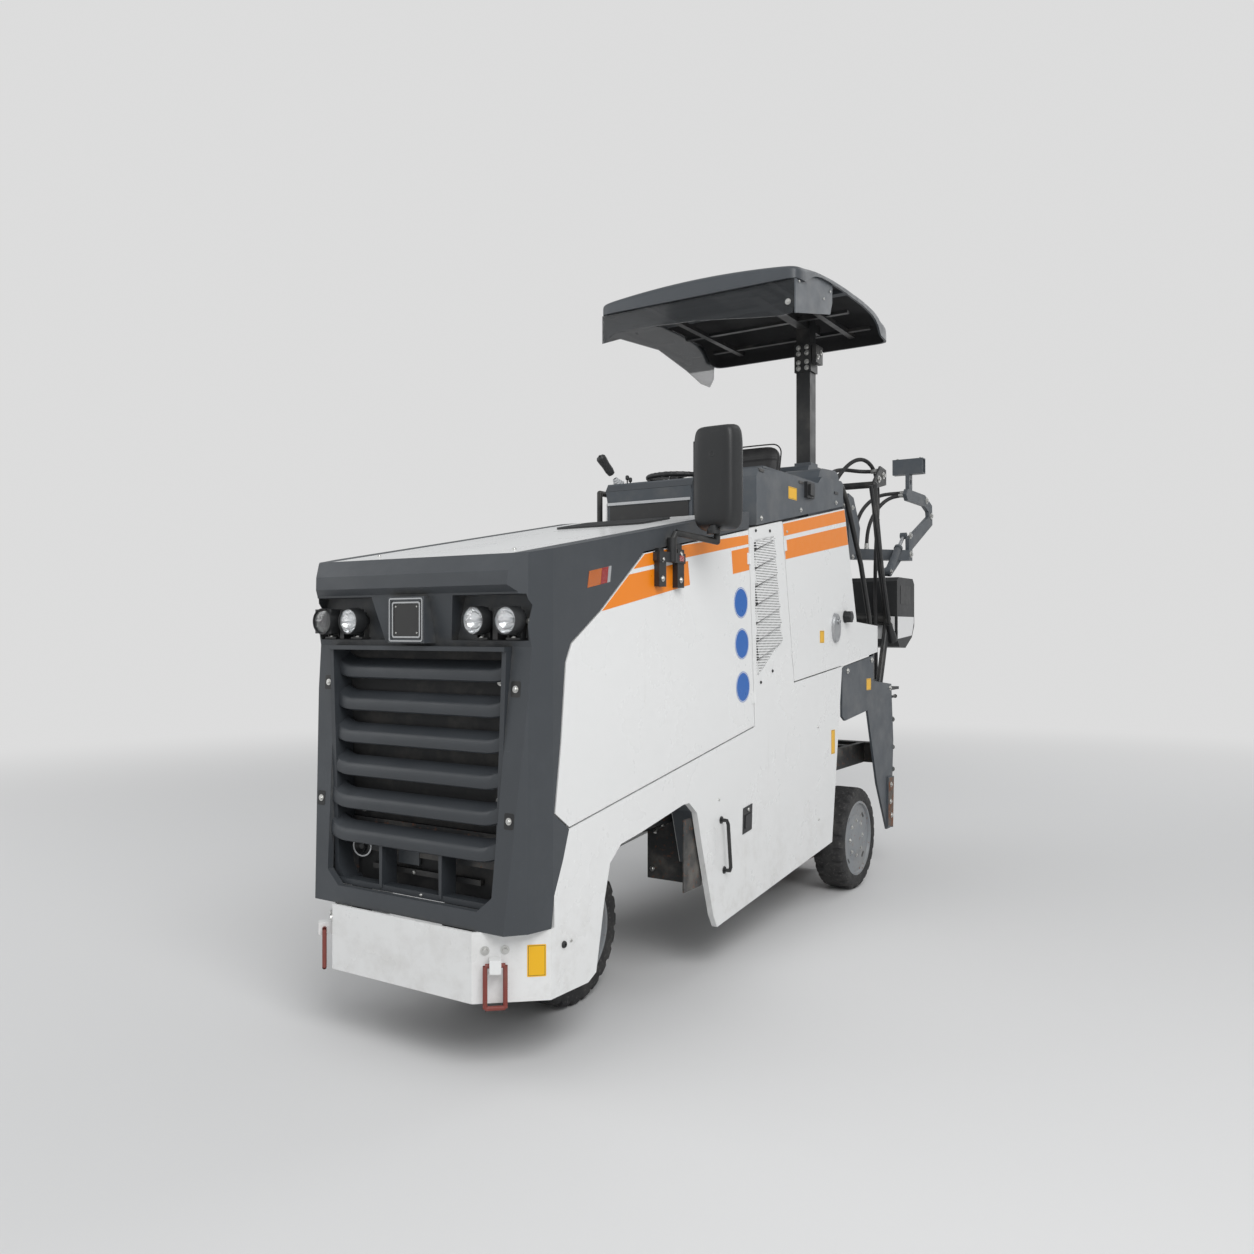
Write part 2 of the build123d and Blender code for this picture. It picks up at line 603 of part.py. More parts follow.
SIDE_BOX_TOP = 2595.0
with BuildPart() as left_side_box:
    with BuildSketch(side_plane(1, HALF_WIDTH - 8)):
        with BuildLine():
            Polyline(outline([
                (2040, belt_z(2040) + 8), (3322, belt_z(3322) + 8), (3322, 2640), (3290, 2655), (2960, 2640),
                (2900, SIDE_BOX_TOP), (2080, SIDE_BOX_TOP - 12), (2040, SIDE_BOX_TOP - 60),
            ]), close=True)
        make_face()
    extrude(amount=-300)
    with Locations((HALF_WIDTH - 8 - 265, back(2680), (DECK_Z + DECK + 2420) / 2)):
        Box(70, 1240, 2420 - DECK_Z - DECK)
left_side_box.part.label = "left_side_box"
export_step(left_side_box.part, "parts/left_side_box.step")

# ---------------------------------------------------------------- operator's place
WHEEL_HUB = (10.0, 2215.0, 2588.0)      # steering wheel: x, distance behind the face, height
STEER_RADIUS = 165.0
COLUMN_RADIUS = 26.0
COLUMN_FOOT = 2440.0
with BuildPart() as console:
    with BuildSketch(side_plane(-1, 330)):
        with BuildLine():
            Polyline(outline([
                (2000, DECK_Z + DECK), (2160, DECK_Z + DECK), (2190, 2440), (2230, 2490), (2200, 2530),
                (2010, 2548), (1985, 2500), (2000, 2440),
            ]), close=True)
        make_face()
    extrude(amount=560)
    column_top = WHEEL_HUB[2] - 13 - SEAT_GAP
    with Locations((WHEEL_HUB[0], back(WHEEL_HUB[1]), (COLUMN_FOOT + column_top) / 2)):
        Cylinder(COLUMN_RADIUS, column_top - COLUMN_FOOT)
console.part.label = "console"
export_step(console.part, "parts/console.step")

with BuildPart() as steering_wheel:
    with Locations((WHEEL_HUB[0], back(WHEEL_HUB[1]), WHEEL_HUB[2])):
        with Locations((0, 0, 0)):
            Torus(STEER_RADIUS, 14)
            Cylinder(40, 26)
    for angle in (90, 210, 330):
        with Locations((
            WHEEL_HUB[0] + STEER_RADIUS / 2 * cos(radians(angle)),
            back(WHEEL_HUB[1]) + STEER_RADIUS / 2 * sin(radians(angle)),
            WHEEL_HUB[2],
        )):
            with Locations(Location((0, 0, 0), (0, 0, angle))):
                Box(STEER_RADIUS, 26, 10)
steering_wheel.part.label = "steering_wheel"
export_step(steering_wheel.part, "parts/steering_wheel.step")

with BuildPart() as seat:
    with Locations((20, back(2880), (DECK_Z + DECK + 2400) / 2)):
        Box(300, 320, 2400 - DECK_Z - DECK)
    with Locations((20, back(2900), 2450)):
        Box(480, 480, 110)
    with BuildSketch(side_plane(-1, 210)):
        with BuildLine():
            Polyline(outline([(3080, 2480), (3170, 2480), (3240, 2930), (3190, 2935), (3120, 2700)]), close=True)
        make_face()
    extrude(amount=460)
seat.part.label = "seat"
export_step(seat.part, "parts/seat.step")

STICK = (-300.0, 2080.0, 2544.5)         # joystick foot: x, distance behind the face, height
STICK_LEAN = (-0.25, -0.6, 0.75)
with BuildPart() as joystick:
    with Locations((STICK[0], back(STICK[1]), STICK[2] + 12)):
        Cylinder(26, 24)
    with BuildSketch(Plane((STICK[0], back(STICK[1]), STICK[2] + 16), z_dir=STICK_LEAN)):
        Circle(11)
    extrude(amount=120)
    with BuildSketch(Plane((STICK[0] - 25, back(STICK[1] - 60), STICK[2] + 91), z_dir=STICK_LEAN)):
        Circle(24)
    extrude(amount=110)
joystick.part.label = "joystick"
export_step(joystick.part, "parts/joystick.step")

RAIL_TUBE = 17.0
GRAB_X = 548.0
SHELF_TOP = 1290.0          # plate across the rear, above the side plates
GRAB_FOOT = 4010.0
with BuildPart() as left_grab_rail:
    with BuildLine(side_plane(1, GRAB_X)) as grab_path:
        Polyline(outline([
            (3342, 2610), (3440, 2640), (3530, 2560), (3800, 2150), (3960, 1800), (GRAB_FOOT, 1600),
            (GRAB_FOOT, SHELF_TOP),
        ]))
    with BuildSketch(Plane(grab_path.wire() @ 0, z_dir=grab_path.wire() % 0)):
        Circle(RAIL_TUBE)
    sweep(transition=Transition.ROUND)
left_grab_rail.part.label = "left_grab_rail"
export_step(left_grab_rail.part, "parts/left_grab_rail.step")

with BuildPart() as right_handrail:
    with BuildLine(side_plane(-1, 540)) as hand_path:
        Polyline(outline([(2230, DECK_Z + DECK), (2230, 2540), (2420, 2540), (2420, DECK_Z + DECK)]))
    with BuildSketch(Plane(hand_path.wire() @ 0, z_dir=hand_path.wire() % 0)):
        Circle(RAIL_TUBE)
    sweep(transition=Transition.ROUND)
right_handrail.part.label = "right_handrail"
export_step(right_handrail.part, "parts/right_handrail.step")

# ---------------------------------------------------------------- canopy
MAST_BOTTOM = 1960.0
MAST_TOP = 2845.0
POST_BOTTOM = 2340.0
POST_TOP = 3840.0
SLIDE_FIT = 0.6
with BuildPart() as canopy_mast:
    with Locations((MAST_X, back(MAST_BACK), (MAST_BOTTOM + MAST_TOP) / 2)):
        Box(MAST_SIZE, MAST_SIZE, MAST_TOP - MAST_BOTTOM)
        Box(POST_SIZE + 2 * SLIDE_FIT, POST_SIZE + 2 * SLIDE_FIT, MAST_TOP - MAST_BOTTOM, mode=Mode.SUBTRACT)
canopy_mast.part.label = "canopy_mast"
export_step(canopy_mast.part, "parts/canopy_mast.step")

with BuildPart() as canopy_post:
    with Locations((MAST_X, back(MAST_BACK), (POST_BOTTOM + POST_TOP) / 2)):
        Box(POST_SIZE, POST_SIZE, POST_TOP - POST_BOTTOM)
    with Locations((MAST_X, back(MAST_BACK), 3560)):
        Box(POST_SIZE + 20, POST_SIZE + 20, 190)
    with Locations((MAST_X, back(3300), 3792)):
        Box(70, 1000, 62)
canopy_post.part.label = "canopy_post"
export_step(canopy_post.part, "parts/canopy_post.step")

ROOF_WALL_THIN = 16.0
VISOR = 12.0
ROOF_SIDE = [
    (CANOPY_FRONT, 3700), (CANOPY_FRONT + 16, 3790), (CANOPY_FRONT + 300, 3862), (3200, 3905),
    (3700, 3900), (CANOPY_REAR - 80, 3865), (CANOPY_REAR, 3810), (CANOPY_REAR, 3705),
]
ROOF_RIM = 3700.0
ROOF_CROWN = 45.0           # the roof is this much lower at its sides than in the middle
ROOF_CORE = [
    (CANOPY_FRONT + 16, 3600), (CANOPY_FRONT + 32, 3774), (CANOPY_FRONT + 304, 3846), (3200, 3888),
    (3695, 3883), (CANOPY_REAR - 86, 3849), (CANOPY_REAR - 16, 3800), (CANOPY_REAR - 16, 3600),
]
ROOF_ARCH = [(2560, 3690), (2700, 3780), (3000, 3812), (3500, 3820), (3760, 3790), (3860, 3690)]
ROOF_TOP = 3905.0


def crowned(points, inset):
    """Solid with this side outline and a top that is crowned across the machine."""
    half = CANOPY_HALF - inset
    with BuildPart() as solid:
        with BuildSketch(side_plane(-1, half)):
            with BuildLine():
                Polyline(outline(points), close=True)
            make_face()
        extrude(amount=2 * half)
        with BuildSketch(Plane.XZ.offset(-back(CANOPY_REAR + 20))):
            with BuildLine():
                Polyline([(half, ROOF_TOP - ROOF_CROWN - inset), (half, 3400), (-half, 3400),
                          (-half, ROOF_TOP - ROOF_CROWN - inset)])
                ThreePointArc(
                    (-half, ROOF_TOP - ROOF_CROWN - inset),
                    (0, ROOF_TOP + 4 - inset),
                    (half, ROOF_TOP - ROOF_CROWN - inset),
                )
            make_face()
        extrude(amount=1700, mode=Mode.INTERSECT)
    return solid.part


with BuildPart() as canopy_roof:
    add(crowned(ROOF_SIDE, 0))
    add(crowned(ROOF_CORE, ROOF_WALL_THIN), mode=Mode.SUBTRACT)
    with BuildSketch(side_plane(-1, CANOPY_HALF + 5)):
        with BuildLine():
            Polyline(outline(ROOF_ARCH), close=True)
        make_face()
    extrude(amount=2 * CANOPY_HALF + 10, mode=Mode.SUBTRACT)
    with Locations((0, back(3220), 3838)):
        Box(2 * (CANOPY_HALF - 5), 60, 30)
    with BuildSketch(Plane.XZ.offset(-back(CANOPY_FRONT))):
        with BuildLine():
            Polyline([
                (-CANOPY_HALF, 3715), (CANOPY_HALF, 3715), (CANOPY_HALF, 3500), (420, 3512), (0, 3560),
                (-560, 3580), (-CANOPY_HALF, 3520),
            ], close=True)
        make_face()
    extrude(amount=-VISOR)
canopy_roof.part.label = "canopy_roof"
export_step(canopy_roof.part, "parts/canopy_roof.step")

# ---------------------------------------------------------------- canopy screens
SCREEN = 8.0
# side screens: (distance behind the bumper's face, height)
LEFT_SCREEN = [(2433, 3695), (2433, 3500), (2960, 3625), (2990, 3700), (2995, 3828), (2700, 3798), (2560, 3712)]
RIGHT_SCREEN = [
    (2433, 3695), (2433, 3520), (2640, 3600), (3130, 3640), (3520, 3580), (3740, 3530), (3870, 3530),
    (3930, 3600), (3940, 3700), (3885, 3700), (3770, 3806), (3500, 3822), (3000, 3822), (2700, 3794), (2560, 3704),
]
for side, sign, points in (("left", 1, LEFT_SCREEN), ("right", -1, RIGHT_SCREEN)):
    with BuildPart() as canopy_screen:
        with BuildSketch(side_plane(sign, CANOPY_HALF - ROOF_WALL_THIN)):
            with BuildLine():
                Polyline(outline(points), close=True)
            make_face()
        extrude(amount=-sign * SCREEN)
    canopy_screen.part.label = f"{side}_canopy_screen"
    export_step(canopy_screen.part, f"parts/{side}_canopy_screen.step")

# ---------------------------------------------------------------- mirror
MIRROR = (755.0, 1293.0, 2417.0)        # middle: x, distance behind the bumper's face, height
with BuildPart() as left_mirror:
    with Locations((MIRROR[0], back(MIRROR[1]), MIRROR[2])):
        Box(236, 110, 500)
    fillet(left_mirror.edges().filter_by(Axis.Z), 45)
    fillet(left_mirror.faces().sort_by(Axis.Z)[-1].edges(), 30)
    fillet(left_mirror.faces().sort_by(Axis.Z)[0].edges(), 30)
    with Locations((MIRROR[0], back(MIRROR[1] + 55), MIRROR[2])):
        Box(186, 12, 440, mode=Mode.SUBTRACT)
left_mirror.part.label = "left_mirror"
export_step(left_mirror.part, "parts/left_mirror.step")

CLAW_FRONT = 955.0
CLAW_REAR = 1199.0
with BuildPart() as mirror_arm:
    for distance in (CLAW_FRONT + 40, CLAW_REAR - 40):
        with Locations((HALF_WIDTH + 10, back(distance), 1985)):
            Box(20, 50, 140)
    with Locations((HALF_WIDTH + 10, back((CLAW_FRONT + CLAW_REAR) / 2), 2035)):
        Box(20, CLAW_REAR - CLAW_FRONT, 40)
    with Locations((HALF_WIDTH + 26, back(1080), 2070)):
        Cylinder(22, 110)
    with BuildLine() as arm_path:
        Polyline([
            (HALF_WIDTH + 26, back(1080), 2110),
            (HALF_WIDTH + 30, back(1110), 2150),
            (MIRROR[0], back(MIRROR[1]), MIRROR[2] - 300),
            (MIRROR[0], back(MIRROR[1]), MIRROR[2] - 250 - SEAT_GAP),
        ])
    with BuildSketch(Plane(arm_path.wire() @ 0, z_dir=arm_path.wire() % 0)):
        Circle(15)
    sweep(transition=Transition.ROUND)
mirror_arm.part.label = "mirror_arm"
export_step(mirror_arm.part, "parts/mirror_arm.step")

# ---------------------------------------------------------------- front bogie and wheels
STUB_RADIUS = 40.0
AXLE_RADIUS = 50.0
WEB_HALF = 55.0
ARM_BOTTOM = 724.0
TURNTABLE_TOP = RAIL_BOTTOM - SEAT_GAP
STUB_FIT = 0.3
HUB_REACH = 55.0            # inner face of the wheel disc, outwards from the tyre's middle
HUB_START = 80.0            # hub's inner end, inwards from the tyre's middle
with BuildPart() as front_bogie:
    with Locations((0, FRONT_AXLE_Y, TURNTABLE_TOP - 14)):
        Cylinder(KINGPIN_RADIUS, 28)
    with Locations((0, FRONT_AXLE_Y, (TYRE_RADIUS + TURNTABLE_TOP - 20) / 2)):
        Box(2 * WEB_HALF, 180, TURNTABLE_TOP - 20 - TYRE_RADIUS)
    with BuildSketch(Plane.YZ.offset(-FRONT_TRACK / 2 - HUB_REACH + STUB_FIT)):
        with Locations((FRONT_AXLE_Y, TYRE_RADIUS)):
            Circle(STUB_RADIUS)
    extrude(amount=FRONT_TRACK + 2 * HUB_REACH - 2 * STUB_FIT)
    with BuildSketch(Plane.YZ.offset(-FRONT_TRACK / 2 + TYRE_WIDTH / 2 + 5)):
        with Locations((FRONT_AXLE_Y, TYRE_RADIUS)):
            Circle(AXLE_RADIUS + 20)
    extrude(amount=FRONT_TRACK - TYRE_WIDTH - 10)
    with Locations((CYLINDER_X / 2, FRONT_AXLE_Y, ARM_BOTTOM + 5)):
        Box(CYLINDER_X + 50, 60, 10)
front_bogie.part.label = "front_bogie"
export_step(front_bogie.part, "parts/front_bogie.step")

ROD_RADIUS = 14.0
BARREL_FRONT = 1040.0
BARREL_REAR = 1500.0
with BuildPart() as steering_barrel:
    with BuildSketch(Plane.XZ.offset(-back(BARREL_FRONT))):
        with Locations((CYLINDER_X, CYLINDER_Z)):
            Circle(28)
    extrude(amount=BARREL_FRONT - BARREL_REAR)
    with BuildSketch(Plane.XZ.offset(-back(BARREL_FRONT))):
        with Locations((CYLINDER_X, CYLINDER_Z)):
            Circle(ROD_RADIUS + 0.4)
    extrude(amount=BARREL_FRONT - BARREL_REAR + 15, mode=Mode.SUBTRACT)
steering_barrel.part.label = "steering_barrel"
export_step(steering_barrel.part, "parts/steering_barrel.step")

ROD_END = 1330.0
with BuildPart() as steering_rod:
    with BuildSketch(Plane.XZ.offset(-back(FRONT_OVERHANG + 15))):
        with Locations((CYLINDER_X, CYLINDER_Z)):
            Circle(ROD_RADIUS)
    extrude(amount=FRONT_OVERHANG + 15 - ROD_END)
    with Locations((CYLINDER_X, FRONT_AXLE_Y, CYLINDER_Z)):
        Cylinder(26, 28)
        Cylinder(12, 30, mode=Mode.SUBTRACT)
steering_rod.part.label = "steering_rod"
export_step(steering_rod.part, "parts/steering_rod.step")

# Half section of a rim about its axle: (outwards from the tyre's middle, radius)
RIM_SECTION = [
    (-95, RIM_RADIUS - 16), (-95, RIM_RADIUS), (95, RIM_RADIUS), (95, RIM_RADIUS - 14), (80, RIM_RADIUS - 20),
    (72, 150), (HUB_REACH + 30, 90), (HUB_REACH + 30, 0), (HUB_REACH, 0), (HUB_REACH, STUB_RADIUS + STUB_FIT),
    (-HUB_START, STUB_RADIUS + STUB_FIT), (-HUB_START, 68), (HUB_REACH - 20, 72), (55, 150), (62, RIM_RADIUS - 22),
]
TYRE_SECTION = [
    (-TYRE_WIDTH / 2 + 5, RIM_RADIUS), (-TYRE_WIDTH / 2, RIM_RADIUS + 14), (-TYRE_WIDTH / 2, TYRE_RADIUS - 26),
    (-TYRE_WIDTH / 2 + 22, TYRE_RADIUS), (TYRE_WIDTH / 2 - 22, TYRE_RADIUS),
    (TYRE_WIDTH / 2, TYRE_RADIUS - 26), (TYRE_WIDTH / 2, RIM_RADIUS + 14), (TYRE_WIDTH / 2 - 5, RIM_RADIUS),
]
# name, x of the tyre's middle, y of the axle, side that the wheel faces
WHEELS = (
    ("front_left", FRONT_TRACK / 2, FRONT_AXLE_Y, 1),
    ("front_right", -FRONT_TRACK / 2, FRONT_AXLE_Y, -1),
    ("rear_left", REAR_WHEEL_X, 0.0, 1),
    ("rear_right", -REAR_WHEEL_X, 0.0, -1),
)
for name, x, y, sign in WHEELS:
    axle = Axis((x, y, TYRE_RADIUS), (1, 0, 0))
    section_plane = Plane((x, y, TYRE_RADIUS), x_dir=(sign, 0, 0), z_dir=(0, -sign, 0))
    with BuildPart() as tyre:
        with BuildSketch(section_plane):
            with BuildLine():
                Polyline(TYRE_SECTION, close=True)
            make_face()
        revolve(axis=axle)
    tyre.part.label = f"{name}_tyre"
    export_step(tyre.part, f"parts/{name}_tyre.step")
    with BuildPart() as rim:
        with BuildSketch(section_plane):
            with BuildLine():
                Polyline(RIM_SECTION, close=True)
            make_face()
        revolve(axis=axle)
    rim.part.label = f"{name}_rim"
    export_step(rim.part, f"parts/{name}_rim.step")

# ---------------------------------------------------------------- rear legs
LEG_TOP = 1350.0
WHEEL_INNER = REAR_WHEEL_X - TYRE_WIDTH / 2
STUB_END = REAR_WHEEL_X + HUB_REACH - STUB_FIT
with BuildPart() as left_leg:
    with Locations((LEFT_LEG[0], back(LEFT_LEG[1]), (TYRE_RADIUS - 80 + LEG_TOP) / 2)):
        Cylinder(LEG_RADIUS, LEG_TOP - TYRE_RADIUS + 80)
    with BuildSketch(Plane.YZ.offset(LEFT_LEG[0])):
        with Locations((0, TYRE_RADIUS)):
            Circle(75)
    extrude(amount=WHEEL_INNER - 8 - LEFT_LEG[0])
    with BuildSketch(Plane.YZ.offset(LEFT_LEG[0])):
        with Locations((0, TYRE_RADIUS)):
            Circle(STUB_RADIUS)
    extrude(amount=STUB_END - LEFT_LEG[0])
left_leg.part.label = "left_rear_leg"
export_step(left_leg.part, "parts/left_rear_leg.step")

with BuildPart() as right_leg:
    with Locations((RIGHT_LEG[0], back(RIGHT_LEG[1]), (TYRE_RADIUS - 60 + LEG_TOP) / 2)):
        Cylinder(LEG_RADIUS, LEG_TOP - TYRE_RADIUS + 60)
    with BuildSketch(Plane.YZ.offset(-WHEEL_INNER + 8)):
        with Locations((0, TYRE_RADIUS)):
            Circle(75)
        with Locations((back(RIGHT_LEG[1]) / 2, TYRE_RADIUS)):
            Rectangle(-back(RIGHT_LEG[1]), 120)
    extrude(amount=50)
    with BuildSketch(Plane.YZ.offset(-WHEEL_INNER + 58)):
        with Locations((0, TYRE_RADIUS)):
            Circle(STUB_RADIUS)
    extrude(amount=-STUB_END + WHEEL_INNER - 58)
right_leg.part.label = "right_rear_leg"
export_step(right_leg.part, "parts/right_rear_leg.step")

# ---------------------------------------------------------------- milling drum
DRUM_Z = CUTTING_RADIUS + DRUM_LIFT
TOOLS = 40
TOOL_STEP = 47.0            # degrees from one tool to the next along the helix
HOLDER = (34.0, 46.0, 44.0)  # along the axis, around, out from the tube
TOOL_TILT = 35.0
with BuildPart() as milling_drum:
    with BuildSketch(Plane.YZ.offset(DRUM_X - CUTTING_WIDTH / 2)):
        with Locations((0, DRUM_Z)):
            Circle(DRUM_RADIUS)
    extrude(amount=CUTTING_WIDTH)
    for tool in range(TOOLS):
        share = (tool + 0.5) / TOOLS
        angle = TOOL_STEP * tool
        x = DRUM_X - (CUTTING_WIDTH - HOLDER[0]) / 2 + (CUTTING_WIDTH - HOLDER[0]) * share
        out = (0, cos(radians(angle)), sin(radians(angle)))
        around = (0, -sin(radians(angle)), cos(radians(angle)))
        seat_plane = Plane(
            (x, (DRUM_RADIUS - 6) * out[1], DRUM_Z + (DRUM_RADIUS - 6) * out[2]), x_dir=(1, 0, 0), z_dir=out
        )
        with BuildSketch(seat_plane):
            Rectangle(HOLDER[0], HOLDER[1])
        extrude(amount=HOLDER[2], taper=8)
        lean = tuple(o * cos(radians(TOOL_TILT)) + a * sin(radians(TOOL_TILT)) for o, a in zip(out, around))
        foot = (x, (DRUM_RADIUS + 30) * out[1], DRUM_Z + (DRUM_RADIUS + 30) * out[2])
        with BuildSketch(Plane(foot, z_dir=lean)):
            RegularPolygon(13, 6)
        extrude(amount=(CUTTING_RADIUS - DRUM_RADIUS - 30) / cos(radians(TOOL_TILT)) - 4, taper=12)
milling_drum.part.label = "milling_drum"
export_step(milling_drum.part, "parts/milling_drum.step")

HOUSING_RADIUS = 360.0
HOUSING_SIDE = 18.0         # between the drum's end and the side plate
HOUSING_REAR = 400.0        # rear edge of the side plates, behind the drum's axis
PLATE_FOOT = 130.0
BLADE_FOOT = 75.0           # lower edge of the scraper blade behind the drum
with BuildPart() as drum_housing:
    with BuildSketch(Plane.YZ.offset(DRUM_X - CUTTING_WIDTH / 2 - HOUSING_SIDE)):
        with Locations((0, DRUM_Z)):
            Circle(HOUSING_RADIUS + SHEET)
            Circle(HOUSING_RADIUS, mode=Mode.SUBTRACT)
            with Locations((0, -HOUSING_RADIUS)):
                Rectangle(3 * HOUSING_RADIUS, 1.5 * HOUSING_RADIUS, mode=Mode.SUBTRACT)
    extrude(amount=CUTTING_WIDTH + 2 * HOUSING_SIDE)
    for sign in (1, -1):
        inner = DRUM_X + sign * (CUTTING_WIDTH / 2 + HOUSING_SIDE)
        with BuildSketch(Plane.YZ.offset(inner)):
            with BuildLine():
                Polyline([
                    (-HOUSING_RADIUS - SHEET, 420), (-250, PLATE_FOOT), (300, PLATE_FOOT), (HOUSING_REAR, 240),
                    (HOUSING_REAR, RAIL_BOTTOM), (-HOUSING_RADIUS - SHEET, RAIL_BOTTOM),
                ], close=True)
            make_face()
        extrude(amount=sign * SHEET)
        with BuildSketch(Plane.YZ.offset(inner)):
            with Locations((0, DRUM_Z)):
                Circle(120)
        extrude(amount=-sign * (HOUSING_SIDE - SEAT_GAP))
    with Locations((DRUM_X, HOUSING_REAR - SHEET / 2, (BLADE_FOOT + 700) / 2)):
        Box(CUTTING_WIDTH + 2 * HOUSING_SIDE, SHEET, 700 - BLADE_FOOT)
drum_housing.part.label = "drum_housing"
export_step(drum_housing.part, "parts/drum_housing.step")

# ---------------------------------------------------------------- rear side plates
PLATE = 15.0
EDGE_PLATE = 12.0
for side, sign in SIDES:
    with BuildPart() as side_plate:
        with BuildSketch(side_plane(sign, INNER_X + PLATE)):
            with BuildLine():
                Polyline(outline([
                    (3325, 1466), (3915, 1530), (3915, 1355), (4300, 1318), (4345, 910), (4322, 653), (4300, 288),
                    (4200, 288), (3990, 640), (3800, 1160), (3378, 1120), (3325, 1150),
                ]), close=True)
            make_face()
        extrude(amount=-sign * PLATE)
        with BuildSketch(side_plane(sign, INNER_X + PLATE)):
            with BuildLine():
                Polyline(outline([(4190, 305), (4300, 288), (4322, 653), (4200, 660)]), close=True)
            make_face()
        extrude(amount=sign * EDGE_PLATE)
    side_plate.part.label = f"{side}_side_plate"
    export_step(side_plate.part, f"parts/{side}_side_plate.step")

# ---------------------------------------------------------------- rear frame
FRAME_X = 500.0
FRAME_TUBE = 24.0
WELD = 2.0                  # weld beads stand out this much at the bends
SHELF = 20.0
# side view of one upright: (distance behind the bumper's face, height)
UPRIGHT = [(4200, RAIL_TOP), (4200, 960), (4300, 1280), (4500, 1790), (4350, 2150), (4250, 2500), (4200, 2750)]
CARRIER_BACK = 4420.0
with BuildPart() as rear_frame:
    for side, sign in SIDES:
        for low, high in zip(UPRIGHT, UPRIGHT[1:]):
            foot = (sign * FRAME_X, back(low[0]), low[1])
            run = (0, high[0] - low[0], high[1] - low[1])
            with BuildSketch(Plane(foot, z_dir=run)):
                Circle(FRAME_TUBE)
            extrude(amount=(run[1] ** 2 + run[2] ** 2) ** 0.5)
            if low is not UPRIGHT[0]:
                with Locations(foot):
                    Sphere(FRAME_TUBE + WELD)
        with Locations((sign * FRAME_X, back(UPRIGHT[-1][0]), UPRIGHT[-1][1])):
            Sphere(FRAME_TUBE + WELD)
    for distance, height in (UPRIGHT[3], UPRIGHT[6]):
        with Locations((0, back(distance), height)):
            with Locations(Location((0, 0, 0), (0, 90, 0))):
                Cylinder(FRAME_TUBE, 2 * FRAME_X)
    with Locations((0, back((4000 + 4520) / 2), SHELF_TOP - SHELF / 2)):
        Box(2 * (INNER_X - SEAT_GAP), 520, SHELF)
    with Locations((370, back(4520), 1790)):
        Box(280, 40, 90)
rear_frame.part.label = "rear_frame"
export_step(rear_frame.part, "parts/rear_frame.step")

BOX_FRONT = 4540.0
BOX_REAR = 4960.0
with BuildPart() as rear_light_box:
    with BuildSketch(side_plane(1, 190)):
        with BuildLine():
            Polyline(outline([
                (BOX_FRONT, 1640), (BOX_FRONT + 60, 1580), (BOX_FRONT + 200, 1570), (BOX_REAR - 60, 1650),
                (BOX_REAR, 1740), (BOX_REAR, 2060), (BOX_REAR - 40, 2100), (BOX_FRONT + 30, 2100),
                (BOX_FRONT, 2070),
            ]), close=True)
        make_face()
    extrude(amount=370)
rear_light_box.part.label = "rear_light_box"
export_step(rear_light_box.part, "parts/rear_light_box.step")

# ---------------------------------------------------------------- conveyor carrier
CARRIER_POST = 45.0
CARRIER_TOP = 2330.0
LEVER = 30.0
PIN_RADIUS = 20.0
CONVEYOR_PIN = (5020.0, 2790.0)
# curved lever that holds the conveyor: (distance behind the bumper's face, height)
LEVER_OUTLINE = [
    (4905, 2760), (4950, 2805), (5400, 2805), (5600, 2740), (5610, 2580), (5060, 2340), (4980, 2340),
    (4975, 2420), (5510, 2640), (5500, 2680), (5390, 2715), (4950, 2715),
]
with BuildPart() as conveyor_carrier:
    with Locations((0, back(CARRIER_BACK), (SHELF_TOP + SEAT_GAP + CARRIER_TOP) / 2)):
        Cylinder(CARRIER_POST, CARRIER_TOP - SHELF_TOP - SEAT_GAP)
    with Locations((0, back(CARRIER_BACK), SHELF_TOP + SEAT_GAP + 15)):
        Cylinder(90, 30)
    for side, sign in SIDES:
        with BuildSketch(Plane.XY.offset(CARRIER_TOP - 80)):
            with BuildLine():
                Polyline([
                    (0, back(CARRIER_BACK - 40)), (sign * (FRAME_X + LEVER / 2), back(4975)),
                    (sign * (FRAME_X + LEVER / 2), back(5060)), (sign * (FRAME_X - 60), back(5060)),
                    (0, back(CARRIER_BACK + 60)),
                ], close=True)
            make_face()
        extrude(amount=80)
        with BuildSketch(side_plane(1, sign * FRAME_X - LEVER / 2)):
            with BuildLine():
                Polyline(outline(LEVER_OUTLINE), close=True)
            make_face()
            with Locations((back(CONVEYOR_PIN[0]), CONVEYOR_PIN[1] + 75)):
                Rectangle(80, 150)
                Circle(PIN_RADIUS, mode=Mode.SUBTRACT)
        extrude(amount=LEVER)
        with Locations((sign * FRAME_X, back(5020), 2355)):
            Box(LEVER, 85, 110)
conveyor_carrier.part.label = "conveyor_carrier"
export_step(conveyor_carrier.part, "parts/conveyor_carrier.step")

